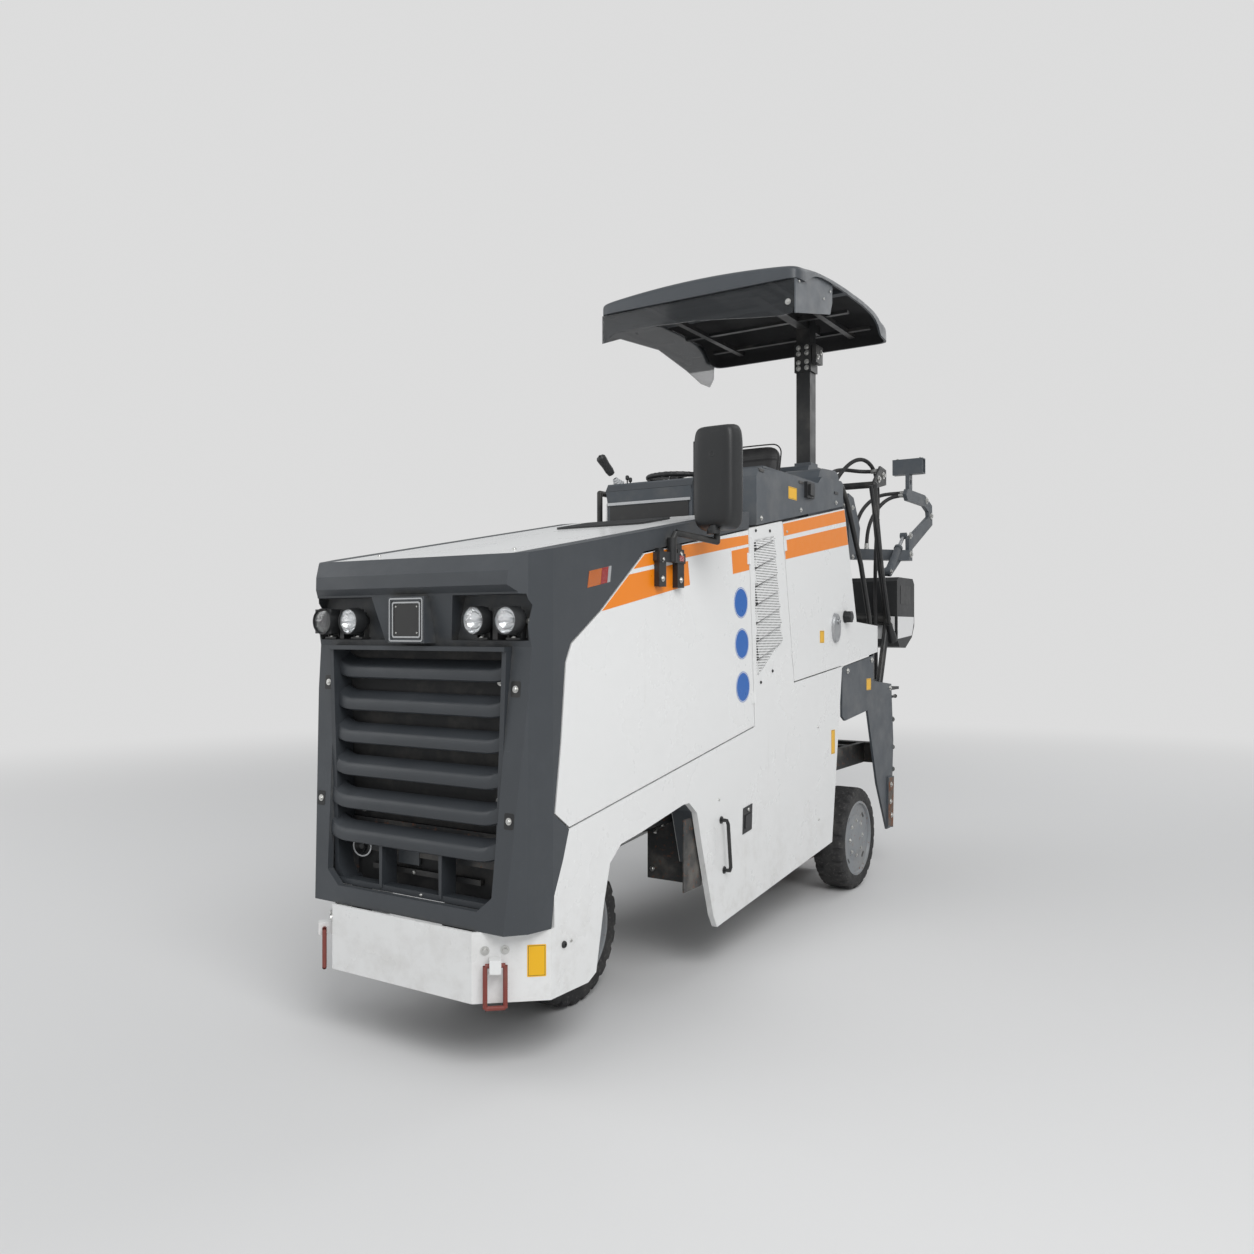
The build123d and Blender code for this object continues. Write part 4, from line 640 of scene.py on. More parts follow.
def blocky(size, power, plan_power, cuts, flat_foot=False):
    """Cube with edges rounded by power norms, and a flat underside if asked."""
    part = bmesh.new()
    bmesh.ops.create_cube(part, size=2.0)
    bmesh.ops.subdivide_edges(part, edges=part.edges[:], cuts=cuts, use_grid_fill=True)
    for v in part.verts:
        # points crowd towards the edges, where the rounding is
        c = Vector([math.sin(c * math.pi / 2) for c in v.co])
        if flat_foot:
            c.z = (v.co.z + 1) / 2
        plan = (abs(c.x) ** plan_power + abs(c.y) ** plan_power) ** (1 / plan_power)
        norm = (plan ** power + abs(c.z) ** power) ** (1 / power)
        v.co = Vector([a / norm * s for a, s in zip(c, size)])
    return part


def along_line(points, d):
    """Height on a polyline of (distance, height), level beyond its ends."""
    for (d0, z0), (d1, z1) in zip(points, points[1:]):
        if d0 <= d <= d1:
            return z0 + (z1 - z0) * (d - d0) / (d1 - d0)
    return points[0][1] if d < points[0][0] else points[-1][1]


# ---- stripes, signs and stickers
DOOR_CORNERS = ((534, 1787), (880, 2050), (1931, 2240), (2005, 1190))
FLAP_CORNERS = ((2521, 1402), (2353, 2316), (3330, 2491), (3553, 1766))
DOOR_STRIPES = (
    [(470, 1769), (1294, 1919), (1275, 2031), (600, 1917)],
    [(1745, 1991), (1990, 2030), (1990, 2152), (1728, 2108)],
    [(600, 1937), (1990, 2168), (1990, 2215), (780, 2036)],
)
FLAP_STRIPES = (
    [(2300, 2089), (3500, 2274), (3500, 2398), (2300, 2195)],
    [(2300, 2221), (3500, 2427), (3500, 2506), (2300, 2290)],
)
EDGE_MARGIN = 11.5          # panel gap and rounded edge that the film stays clear of
FILM = 0.5

for name, body, sign, stripes, corners in (
    ("left_door_stripes", "left_engine_door", 1, DOOR_STRIPES, DOOR_CORNERS),
    ("right_door_stripes", "right_engine_door", -1, DOOR_STRIPES, DOOR_CORNERS),
    ("rear_door_stripes", "left_rear_door", 1, FLAP_STRIPES, FLAP_CORNERS),
):
    film = Fitting(name, body, "white_panel").use(ORANGE)
    for outline in stripes:
        for edge in zip(corners, corners[1:]):
            outline = trim(outline, *edge, EDGE_MARGIN)
        film.along_x(sign * FLANK, outline, sign * FILM)
    film.done()

signs = Fitting("round_signs", "left_engine_door", "white_panel")
SIGN_EDGE = [(73.5, FILM), (76.5, FILM), (76.5, 2 * FILM), (73.5, 2 * FILM), (73.5, FILM)]
for d, z in ((1837, 1846), (1849, 1633), (1861, 1409)):
    spot = outward(1, d, z)
    signs.use(SIGN_BLUE).disc(spot, 80, FILM, 64)
    signs.use(SIGN_WHITE).lathe(SIGN_EDGE, spot, 64)
signs.done()

# name, body, place, width and height
STICKERS = (
    ("bumper_sticker", "chassis", place(at(568.6, 163.4, 439), CHAMFER_OUT), 73, 123),
    ("door_sticker", "left_rear_door", outward(1, 2945, 1664), 70, 75),
    ("skirt_sticker", "chassis", outward(1, 3126, 1008), 62, 150),
    ("plate_sticker", "chassis", outward(1, 3822, 1336, -15), 90, 78),
    ("box_sticker", "chassis", outward(1, 2521, 2491, -8), 120, 70),
)
for name, body, spot, width, height in STICKERS:
    label = Fitting(name, body, "white_panel")
    label.use(SIGN_YELLOW).slab(spot, width, height, 4, FILM)
    label.use(BLACK_FILM_AND_SHADE).rim(
        spot @ move(z=FILM), (width - 8, height - 8, 3), (width - 11, height - 11, 2), 0.2
    )
    label.done()

# ---- air outlets in the flanks
VENT_OUTLINE = [(1997, 2177), (2242, 2217), (2346, 1648), (2035, 1466)]
VENT_EDGES = list(zip(VENT_OUTLINE, VENT_OUTLINE[1:] + VENT_OUTLINE[:1]))
VENT_TOP = 2225.0           # height of the first louvre's upper line at the front edge
VENT_PITCH = 99.0
VENT_LOUVRE = 88            # height of a louvre; the slit under it takes the rest of the pitch
VENT_RISE = 0.30            # the louvres climb this much towards the rear
VENT_COUNT = 9
VENT_BULGE = 15.0
LOUVRE = ((1980, 0), (2400, 0), (2400, VENT_LOUVRE), (1980, VENT_LOUVRE))
# painted shade: a black wedge under each louvre's lower edge, deepest at the front and running out towards
# the rear
SLIT_SHADE = ((1980, VENT_LOUVRE), (2300, 86), (2250, 92), (1980, 103))


def louvre_z(row, d, drop):
    return VENT_TOP - VENT_PITCH * row - drop + VENT_RISE * (d - 2000)


for side, sign in SIDES:
    vent = Fitting(f"{side}_vent", "chassis", "white_panel")
    vent.use(VENT_SHEET).along_x(sign * (FLANK - 4), VENT_OUTLINE, sign * 1.2)
    for row in range(VENT_COUNT):
        band, slit_shade = [[(d, louvre_z(row, d, drop)) for d, drop in shape] for shape in (LOUVRE, SLIT_SHADE)]
        for edge in VENT_EDGES:
            band, slit_shade = trim(band, *edge, 4), trim(slit_shade, *edge, 4)
        if len(band) > 2:
            lifts = [VENT_BULGE * max(0.04, (louvre_z(row, d, 0) - z) / VENT_LOUVRE) for d, z in band]
            vent.use(VENT_SHEET).loft(
                [at(sign * (FLANK - 3), d, z) for d, z in band],
                [at(sign * (FLANK - 3 + lift), d, z) for lift, (d, z) in zip(lifts, band)], 3, 3,
            )
        # black film under the louvre: painted shade
        if len(slit_shade) > 2:
            vent.use(BLACK_FILM_AND_SHADE).along_x(sign * (FLANK - 3), slit_shade, sign * 2.2)
    for d, z in ((2012, 2235), (2190, 2248), (2075, 1424), (2225, 1480)):
        vent.use(BLACK_MOULDED).screw(outward(sign, d, z), 8.5)
    vent.done()

# ---- lamps
LAMP_Z = 1742.0
LAMP_FOOT = 145.0
HOUSING = [
    (0, 0), (30, 0), (44, 22), (56, 40), (56, 98), (54.5, 100.5), (51.5, 99.5), (50.5, 92), (50.5, 80),
]
BOWL = [(50.5, 90), (44, 74), (32, 62), (18, 55), (10.5, 54), (10.5, 50)]
BULB = [(0, 46), (8.5, 46), (8.5, 60), (6, 70), (3, 75), (0, 75.5)]
LAMP_LENS = [(0, 101.5), (30, 98.5), (49.8, 90.5), (50, 93.5), (38, 100), (20, 104.5), (0, 106)]
lamps = Fitting("work_lamps", "chassis", "lamp_glass")
for x in (345, 505, -345, -505):
    spot = ahead(x, LAMP_FOOT, LAMP_Z)
    lamps.use(BLACK_MOULDED)
    if x == -505:
        lamps.pad(spot @ move(z=20), 100, 104, 70, 10)
    lamps.lathe(HOUSING, spot, 40)
    lamps.use(REFLECTOR).lathe(BOWL, spot, 40).lathe(BULB, spot, 16)
    lamps.use(GLASS).lathe(LAMP_LENS, spot, 40).use(BLACK_MOULDED)
    for lean in range(-50, 51, 25):
        lamps.pad(spot @ turned(lean) @ move(0, 50, 30), 4, 12, 45, 1)
    lamps.use(BLACK_PAINT_AND_SHADE).block((x - 34, 96, 1668), (x + 34, 150, 1675))
    for reach in (-34, 30):
        lamps.block((x + reach, 112, 1675), (x + reach + 4, 136, 1748), 1)
    lamps.use(ZINC).bolt(above(x, 104, 1675), 6)
for sign in (1, -1):
    lamps.use(BLACK_PAINT_AND_SHADE).block((sign * 425 - 12, 88, 1668), (sign * 425 + 12, 160, 1790), 3)
    lamps.block((sign * 566 - 9, 118, 1712), (sign * 566 + 9, 162, 1764), 3)
    lamps.use(ZINC).bolt(ahead(sign * 566, 118, 1738), 7)
lamps.done(stands_for=("headlights",))

TURN_LAMP = [Vector(corner) for corner in ((440, 1875), (612, 1907), (622, 1975), (452, 1943))]
TURN_LENSES = ((0.02, 0.56, LENS_ORANGE), (0.57, 0.85, LENS_RED), (0.86, 0.98, LENS_CLEAR))
for side, sign in SIDES:
    lamp = Fitting(f"{side}_turn_lamp", "chassis", "lamp_glass")
    foot, foot_end, top_end, top = TURN_LAMP
    for start, end, material in TURN_LENSES:
        outline = [foot.lerp(foot_end, start), foot.lerp(foot_end, end)]
        outline += [top.lerp(top_end, end), top.lerp(top_end, start)]
        lamp.use(material).along_x(sign * (FLANK - 8), outline, sign * 9.5, 2)
    lamp.done()

# ---- badge plate and moulded front
BADGE_FACE = 40.0
BADGE_MIDDLE = 1746.0
badge = Fitting("badge_trim", "chassis", "badge_frame")
spot = ahead(0, BADGE_FACE + 4, BADGE_MIDDLE)
badge.use(BLACK_FILM_AND_SHADE).pad(spot, 158, 148, 1.5, 0.5)
badge.use(CAP_METAL).rim(spot @ move(z=4), (186, 176, 10), (175, 165, 6), 3)
badge.rim(spot @ move(z=1.5), (156, 146, 10), (143, 133, 6), 3)
for x in (-58, 58):
    for rise in (-53, 53):
        badge.use(ZINC).screw(ahead(x, BADGE_FACE + 2.5, BADGE_MIDDLE + rise), 4)
badge.done()

front = Fitting("front_fittings", "chassis", "black_plastic")
front.use(MESH).along_y(176, ((-486, 1634), (486, 1634), (436, 590), (-436, 590)), 4)
front.use(SLATE_PAINT).block((-158, 158, 728), (-40, 166, 804))
horn = place(at(-372, 174, 775), (0.25, -1, 0))
front.use(BLACK_MOULDED).lathe(
    [(0, 0), (40, 0), (44, 10), (44, 22), (30, 30), (26, 44), (12, 30), (0, 28)], horn, 30
)
front.use(CAP_METAL).lathe([(40, 21), (46, 21), (46, 26), (40, 26), (40, 21)], horn, 30)
front.use(BLACK_PAINT_AND_SHADE).block((-300, 150, 690), (300, 172, 712), 3)
for x, z in ((-385, 1530), (-372, 1380), (-380, 1232), (-372, 1084), (-378, 934), (380, 1500), (374, 1030)):
    front.use(ZINC).bolt(ahead(x, 176, z), 9)
front.screw(ahead(-60, 150, 700), 9)
for sign in (1, -1):
    for z in (1479, 982):
        spot = place(at(sign * 518, leaned(24, z), z), (0, -1, GRILLE_LEAN))
        front.use(BLACK_PAINT_AND_SHADE).slab(spot, 46, 62, 8, 1)
        front.use(ZINC).bolt(spot @ move(z=1), 8)
front.screw(ahead(0, 46, 1915), 8)
for sign in (1, -1):
    front.use(BLACK_MOULDED).screw(outward(sign, 282, 477), 14)
for sign in (1, -1):
    for along in (50, 126):
        share = along / CHAMFER_LENGTH
        spot = at(sign * (FLANK - CHAMFER_WIDTH * (1 - share)), CHAMFER_DEPTH * share, 486)
        front.use(ZINC).bolt(place(spot, (sign * CHAMFER_OUT[0], CHAMFER_OUT[1], 0)), 10)
front.done()

# ---- grille
BAR_FEET = (1500, 1362, 1224, 1086, 948, 810)
# section of a bar: behind its foot, above it
BAR = ((14, 0), (2, 6), (0, 16), (1, 40), (6, 50), (16, 57), (62, 84), (72, 80), (30, 44), (24, 8))
GRILLE_TOP, GRILLE_FOOT = (1640, 489), (628, 451)       # height, half width
BAR_STEPS = 16
bars = Fitting("grille_bars", "chassis", "grey_plastic")
# bars in the darker plastic that paints their shade
bars.use(GRILLE_SHADED)
for foot in BAR_FEET:
    share = (foot - GRILLE_FOOT[0]) / (GRILLE_TOP[0] - GRILLE_FOOT[0])
    half = GRILLE_FOOT[1] + (GRILLE_TOP[1] - GRILLE_FOOT[1]) * share
    near = leaned(30, foot)
    part = bmesh.new()
    loops = []
    for step in range(-BAR_STEPS, BAR_STEPS + 1):
        t = step / BAR_STEPS
        lift = 34 * max(0.0, (abs(t) - 0.82) / 0.18) ** 1.6         # the ends turn up
        loops.append([
            part.verts.new(at(t * half, near + d + 0.25 * lift, foot + z + lift * (0.5 if z < 45 else 1.0)))
            for d, z in BAR
        ])
    skin(part, loops)
    part.faces.new(loops[0])
    part.faces.new(loops[-1][::-1])
    bars.merge(part)
for sign in (1, -1):
    post = [(489, 1640), (451, 628), (385, 628), (430, 700), (468, 1640)]
    bars.along_y(78, [(sign * x, z) for x, z in post], 110, 3)
    bars.along_y(62, [(sign * 165 + x, z) for x, z in ((-7, 640), (7, 640), (9, 812), (-9, 812))], 85, 2)
bars.block((-448, 66, 628), (448, 122, 652), 5)
bars.block((-489, 66, 1622), (489, 150, 1640), 3)
bars.use(ZINC).screw(ahead(60, 66, 640), 7)
bars.done(stands_for=("grille",))

# ---- side doors and skirts
cap = Fitting("filler_caps", "left_rear_door", "white_panel")
oval = outward(1, 3160, 1719) @ Matrix.Diagonal((0.63, 1.0, 1.0, 1.0))
cap.use(CAP_METAL).lathe(
    [(0, 0), (94, 0), (94, 5), (89.5, 13), (87.5, 18.5), (70, 21.5), (66, 19.5), (30, 21.5), (0, 22.5)],
    oval, 56,
)
lock = outward(1, 3166, 1757, 20)
cap.lathe([(0, 0), (17, 0), (17, 10), (14, 13), (12.5, 11), (0, 11)], lock, 30)
cap.use(BLACK_MOULDED).pad(lock @ move(z=11), 4, 14, 1.2)
cap.use(CAP_METAL).pad(outward(1, 3204, 1700, 1) @ turned(-22), 26, 66, 12, 5)
cap.use(ZINC).screw(outward(1, 3200, 1712, 13), 9)
knob = outward(1, 3334, 1790)
cap.use(BLACK_MOULDED)
cap.lathe([(0, 0), (40, 0), (40, 6), (33.5, 10), (32.5, 43), (27, 49), (0, 50)], knob, 36)
for lobe in range(6):
    spot = knob @ turned(60 * lobe) @ move(31.5, 0, 12)
    cap.lathe([(0, 0), (8.5, 0), (8.5, 30), (5, 34), (0, 34)], spot, 14)
cap.use(ZINC).screw(outward(1, 2420, 2262), 8)
cap.done()

HANDLE = ((604, 1614, 756), (648, 1614, 756), (648, 1646, 500), (604, 1646, 500))
LATCH = ((1853, 643), (1959, 655), (1966, 789), (1860, 777))
PADDLE = ((1873, 668), (1942, 676), (1946, 745), (1877, 737))
for side, sign in SIDES:
    gear = Fitting(f"{side}_flank_gear", "chassis", "black_plastic")
    gear.use(BLACK_PAINT_AND_SHADE).tube([at(sign * x, d, z) for x, d, z in HANDLE], 9.3, order=2)
    for _, d, z in HANDLE[::3]:
        gear.use(BLACK_PAINT_AND_SHADE).lathe([(0, 0), (19, 0), (18, 4), (0, 4)], outward(sign, d, z), 24)
        gear.use(ZINC).screw(outward(sign, d + 42, z - 6), 8)
    gear.use(BLACK_MOULDED).along_x(sign * (FLANK - 4), LATCH, sign * 7.5, 2.5)
    gear.along_x(sign * (FLANK + 3), PADDLE, sign * 5, 3)
    gear.use(ZINC).screw(outward(sign, 1915, 764, 3.5), 10)
    for d, z in ((1590, 860), (2890, 560), (2880, 1120), (330, 480)):
        gear.screw(outward(sign, d, z), 7)
    gear.done()

# ---- wheel arches
ARCH = ((572, 560), (608, 742), (694, 806), (846, 826), (1228, 892), (1290, 892), (1374, 832), (1458, 560))
ARCH_EYE = Vector((1015, 560))
ARCH_INNER = [ARCH_EYE + (Vector(p) - ARCH_EYE) * 0.994 for p in reversed(ARCH)]
for side, sign in SIDES:
    liner = Fitting(f"{side}_arch_liner", "chassis", "grey_plastic")
    liner.use(LINER).along_x(sign * 578, [*ARCH, *ARCH_INNER], -sign * 114)
    bulkhead = ((262, 452), (566, 452), (566, 818), (262, 818))
    liner.use(FRAME_PAINT).along_y(1478, [(sign * x, z) for x, z in bulkhead], 6, 2)
    liner.block((sign * 566, 1300, 452), (sign * 572, 1480, 800))
    liner.use(BLACK_MOULDED)
    liner.lathe([(0, 0), (30, 0), (34, 4), (30, 8), (0, 6)], ahead(sign * 505, 1478, 690)).use(ZINC)
    for x, z, reach in ((330, 770, 130), (380, 742, 96)):
        bend = ((x, 1476, z), (x, 1476 - reach, z + 6), (x + 4, 1446 - reach, z - 30))
        liner.tube([at(sign * a, d, h) for a, d, h in bend], 9)
        liner.lathe([(9, 0), (17, 0), (17, 22), (9, 22)], ahead(sign * x, 1431, z + 2), 6)
    for x, z in ((290, 500), (290, 790), (540, 500), (540, 790)):
        liner.bolt(ahead(sign * x, 1478, z), 8)
    liner.done()

# ---- wheels
# half section of a tyre, from its rim to the tread: place along its axle, radius, depth of the notches
HALF_TYRE = (
    (-95, 242, 0), (-100, 256, 0), (-100, 282, 0), (-99, 300, 6), (-95, 314, 12), (-84, 325.5, 14),
    (-66, 329.9, 13), (-48, 329.9, 10), (-30, 329.9, 0),
)
TYRE = HALF_TYRE + tuple((-out, radius, depth) for out, radius, depth in reversed(HALF_TYRE))
LUGS = 24
NOTCH = (0, 0, 0, 0, 0, 1, 1)       # one lug and its notch, in equal steps
TYRE_RADIUS = 330
WHEEL_BOLT_CIRCLE = 112
WHEELS = (
    ("front_left", 180, 850, 1), ("front_right", -180, 850, -1),
    ("rear_left", 510, 3590, 1), ("rear_right", -510, 3590, -1),
)
for name, x, d, sign in WHEELS:
    hub = aside(x, d, TYRE_RADIUS, sign)
    tread = Fitting(f"{name}_tread", f"{name}_wheel", "solid_tyre").use(RUBBER)
    part = bmesh.new()
    loops = []
    steps = LUGS * len(NOTCH)
    for step in range(steps):
        loop = []
        spoke = 2 * math.pi * step / steps
        for out, radius, depth in TYRE:
            # the notches of one side stand between those of the other
            shift = 0 if out < 0 else len(NOTCH) // 2
            reach = (radius - depth * NOTCH[(step + shift) % len(NOTCH)]) / 1000
            spot = hub @ Vector((reach * math.cos(spoke), reach * math.sin(spoke), out / 1000))
            loop.append(part.verts.new(spot))
        loops.append(loop)
    skin(part, loops + loops[:1])
    tread.merge(part)
    tread.done(sharp=24, stands_for=(f"{name}_tyre",))
    bolts = Fitting(f"{name}_wheel_bolts", f"{name}_wheel", "rim_paint")
    for nut in range(8):
        spot = hub @ turned(45 * nut)
        bolts.use(ZINC).bolt(spot @ move(WHEEL_BOLT_CIRCLE, 0, 79.5), 8.5)
        # every other gap between nuts gets a black slab that stands for a slot through the rim: painted
        # shade
        if nut % 2:
            bolts.use(BLACK_PAINT_AND_SHADE).slab(spot @ move(186, 0, 75.2) @ turned(-6, "Y"), 16, 46, 7.5, 2)
    bolts.done()

# ---- mirror
housing = Fitting("mirror_housing", "left_engine_door", "black_plastic").use(BLACK_MOULDED)
MIRROR_X, MIRROR_D, MIRROR_Z = 755, 1293, 2417      # middle of the housing
MIRROR_HALF = (118, 55, 250)
part = blocky(MIRROR_HALF, 7.0, 6.0, 14)
for v in part.verts:
    x, y, z = v.co
    taper = 1 - 0.16 * max(0.0, 0.5 - y / (2 * MIRROR_HALF[1])) ** 1.5      # smaller at its back
    v.co = at(MIRROR_X + x * taper, MIRROR_D + y, MIRROR_Z + z * (0.5 + 0.5 * taper))
housing.merge(part)
housing.done(sharp=60, stands_for=("left_mirror",))
mirror = Fitting("mirror_details", "left_engine_door", "black_plastic")
mirror.use(MIRROR_GLASS).slab(astern(MIRROR_X, MIRROR_D + 49.5, MIRROR_Z), 186, 450, 38, 3, 1, steps=8)
mirror.use(BLACK_MOULDED).block((646, 1262, 2245), (664, 1336, 2590), 7)
mirror.block((664, 1254, 2268), (676, 1300, 2566), 5)
for z in (2290, 2417, 2540):
    mirror.block((640, 1284, z - 12), (648, 1316, z + 12), 3)
mirror.lathe([(4, 0), (16, 0), (18, 4), (12, 6), (4, 3)], ahead(MIRROR_X, 1243, 2520), 24)
mirror.lathe([(15.5, 0), (32, 0), (32, 16), (22, 30), (15.5, 40)], above(MIRROR_X, 1259, 2150), 24)
for d in (995, 1159):
    top = belt_z(d)
    mirror.use(BLACK_MOULDED).block((611, d - 30, 1900), (638, d + 30, top - 24), 6)
    mirror.block((611, d - 22, top - 40), (630, d + 22, top + 1), 6)
    mirror.use(ZINC).bolt(aside(638, d, 1935), 8).bolt(aside(638, d, top - 48), 8)
mirror.use(BLACK_MOULDED).block((630, 960, 2012), (642, 1195, 2058), 4)
mirror.use(LENS_RED).block((642, 1140, 2022), (643, 1180, 2048), 0.2)
mirror.done()

# ---- operator's place
desk = Fitting("console_details", "chassis", "black_plastic")
hood_lip = (
    (2012, 2550), (1984, 2506), (1996, 2486), (2016, 2520), (2196, 2502), (2234, 2494), (2206, 2534),
)
desk.use(SLATE_MOULDED).along_x(-334, hood_lip, 568, 4)
desk.use(CAP_METAL).block((-324, 1990, 2424), (224, 1998, 2440))
desk.block((-324, 1990, 2110), (224, 1998, 2124))
desk.use(SIGN_WHITE).block((-338, 1992, 2000), (-331, 2150, 2440), 3)
desk.use(BLACK_FILM_AND_SHADE).block((-310, 1995, 2128), (210, 1999.5, 2420), 1)
PANEL_TILT = (0, 0.09, 1)
desk.slab(place(at(-130, 2098, 2541), PANEL_TILT, (0, 1, 0)), 150, 94, 10, 12, 2)
for column in range(5):
    for row in range(2):
        key = place(at(86 + 26 * column, 2066 + 40 * row, 2542 - 3.6 * row), PANEL_TILT, (0, 1, 0))
        desk.use(LENS_RED if (column, row) == (4, 0) else BLACK_MOULDED)
        desk.lathe([(0, 0), (10, 0), (10, 6), (7, 9), (0, 9)], key, 18)
for x, d in ((-262, 2140), (-232, 2060)):
    grip = above(x, d, 2537)
    desk.use(GREY_BOOT).lathe([(0, 0), (13, 0), (11, 12), (6, 16), (0, 16)], grip, 20)
    desk.use(BLACK_MOULDED).lathe(
        [(0, 14), (4, 16), (4, 38), (11, 44), (11, 60), (7, 66), (0, 66)], grip, 20
    )
stick = place(at(-300, 2080, 2552), Vector((-0.25, -0.6, 0.75)).normalized())
BELLOWS = [
    (12, 0), (34, 0), (35, 6), (27, 12), (29, 18), (22, 24), (24, 30), (17, 36), (18, 42), (12.5, 50),
]
desk.use(GREY_BOOT).lathe(BELLOWS, stick)
grip = stick @ move(z=128)
desk.use(BLACK_MOULDED).lathe(
    [(12, -50), (20, -46), (25.5, -20), (25, 20), (28.5, 50), (29, 70), (22, 80), (0, 82)], grip
)
desk.lathe([(0, 81), (7, 81), (7, 87), (0, 88)], grip, 16)
desk.done(stands_for=("joystick",))

wheel = Fitting("steering_wheel_trim", "steering_wheel", "black_plastic")
hub = above(10, 2215, 2588)
GRIP_RADIUS = 165           # of the steering wheel's rim
wheel.use(BLACK_MOULDED)
for finger in range(30):
    around = hub @ turned(12 * finger) @ move(GRIP_RADIUS) @ turned(90, "X")
    wheel.lathe([(13.5, -8.5), (15.2, -5), (15.2, 5), (13.5, 8.5)], around, 14)
wheel.lathe([(0, 12), (44, 12), (40, 22), (18, 26), (0, 26)], hub, 32)
knob = hub @ move(-128, 98, 10)
wheel.lathe([(0, 0), (10, 0), (10, 12), (21, 22), (23, 38), (16, 50), (0, 53)], knob, 24)
wheel.done()

box = Fitting("side_box_details", "chassis", "slate_paint")
box.use(SLATE_PAINT).block((330, 2170, 2594), (580, 2880, 2606), 5)
arm_rest = (
    (2962, 2636), (2990, 2690), (3030, 2704), (3240, 2716), (3290, 2700), (3312, 2650), (3290, 2652),
)
box.along_x(340, arm_rest, 240, 12)
box.use(BLACK_MOULDED).block((602, 2690, 2486), (622, 2800, 2580), 6)
box.block((622, 2712, 2500), (634, 2778, 2566), 5)
for d in (2100, 2640, 3200):
    box.use(ZINC).bolt(aside(602, d, belt_z(d) + 40), 8)
    box.use(BLACK_PAINT_AND_SHADE).block((596, d - 30, 2560), (606, d + 30, 2576), 3)
for d in (2300, 2750):
    box.lathe([(0, 0), (24, 0), (24, 6), (16, 9), (0, 9)], above(455, d, 2606))
box.done()


# ---- seat
STUFFING = 0.012            # metres that the simulated stuffing may push the cover out


def settle(piece):
    """Turns the modifiers' result into the piece's own mesh."""
    bpy.context.view_layer.update()
    result = bpy.data.meshes.new_from_object(piece.evaluated_get(bpy.context.evaluated_depsgraph_get()))
    piece.modifiers.clear()
    piece.data = result


def cushion(name, where, size, channels):
    """Padded form in the frame of a matrix, pressed out by simulated stuffing. Metres.

    channels are sewn lines on its upper face: (across, place along the other axis, depth).
    """
    part = bmesh.new()
    bmesh.ops.create_cube(part, size=2.0)
    bmesh.ops.subdivide_edges(part, edges=part.edges[:], cuts=12, use_grid_fill=True)
    half = Vector(size) / 2 - Vector((STUFFING, STUFFING, STUFFING)) * 0.9
    for v in part.verts:
        norm = sum(abs(c) ** 5 for c in v.co) ** 0.2
        v.co = Vector(c / norm * h for c, h in zip(v.co, half))
    mesh = bpy.data.meshes.new(name)
    part.to_mesh(mesh)
    part.free()
    piece = link_new(name, mesh)
    remesh = piece.modifiers.new("even", "REMESH")
    remesh.mode = "VOXEL"
    remesh.voxel_size = 0.009
    settle(piece)
    before = [v.co.copy() for v in piece.data.vertices]
    cloth = piece.modifiers.new("stuffing", "CLOTH")
    cloth.settings.use_pressure = True
    cloth.settings.uniform_pressure_force = 4.0
    cloth.settings.effector_weights.gravity = 0.0
    cloth.point_cache.frame_end = 20
    for frame_number in range(1, 21):
        bpy.context.scene.frame_set(frame_number)
    settle(piece)
    bpy.context.scene.frame_set(1)
    for v, start in zip(piece.data.vertices, before):
        push = v.co - start
        if push.length > STUFFING:
            v.co = start + push * (STUFFING / push.length)
    for v in piece.data.vertices:
        if v.co.z > 0:
            for across, spot, depth in channels:
                v.co.z -= depth * math.exp(-((v.co[1 - across] - spot) / 0.010) ** 2)
    piece.data.transform(where)
    for polygon in piece.data.polygons:
        polygon.use_smooth = True
    piece.data.materials.append(SEAT_COVER)
    finer = piece.modifiers.new("finer", "SUBSURF")
    finer.levels = 1
    finer.render_levels = 1
    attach(piece, "chassis")


SEAT_BASE = place(at(20, 2900, 2452), (0, 0, 1), (0, 1, 0))
SEAT_BACK = place(at(20, 3155, 2706), (0, -1, 0.26), (0, 0.26, 1))
cushion(
    "seat_cushion", SEAT_BASE, (0.470, 0.470, 0.108),
    ((0, -0.110, 0.008), (0, 0.0, 0.006), (0, 0.110, 0.008), (1, 0.150, 0.007), (1, -0.150, 0.007)),
)
cushion(
    "seat_backrest", SEAT_BACK, (0.452, 0.455, 0.088),
    ((0, -0.110, 0.007), (0, 0.0, 0.006), (0, 0.110, 0.007), (0, 0.195, 0.005)),
)
stand = Fitting("seat_stand", "chassis", "black_plastic")
stand.use(BLACK_PAINT_AND_SHADE).block((-125, 2725, 1946), (165, 3035, 1975), 6)
for fold in range(9):
    z = 1985 + 40 * fold
    stand.use(BLACK_MOULDED).block((-108, 2742, z), (148, 3018, z + 20), 8)
    stand.block((-118, 2732, z + 20), (158, 3028, z + 38), 8)
stand.use(BLACK_PAINT_AND_SHADE).block((-190, 2700, 2352), (230, 3090, 2398), 10)
stand.block((-60, 3100, 2390), (100, 3128, 2470), 6)
stand.use(ZINC).tube([at(-215, 2760, 2374), at(-215, 2720, 2374), at(-215, 2690, 2390)], 6)
for where, width, depth in ((SEAT_BASE, 452, 452), (SEAT_BACK, 434, 437)):
    stand.use(SEAT_COVER).tube(rounded(where @ move(z=12), width, depth, 75, 4), 4.5, closed=True)
stand.done(stands_for=("seat",))

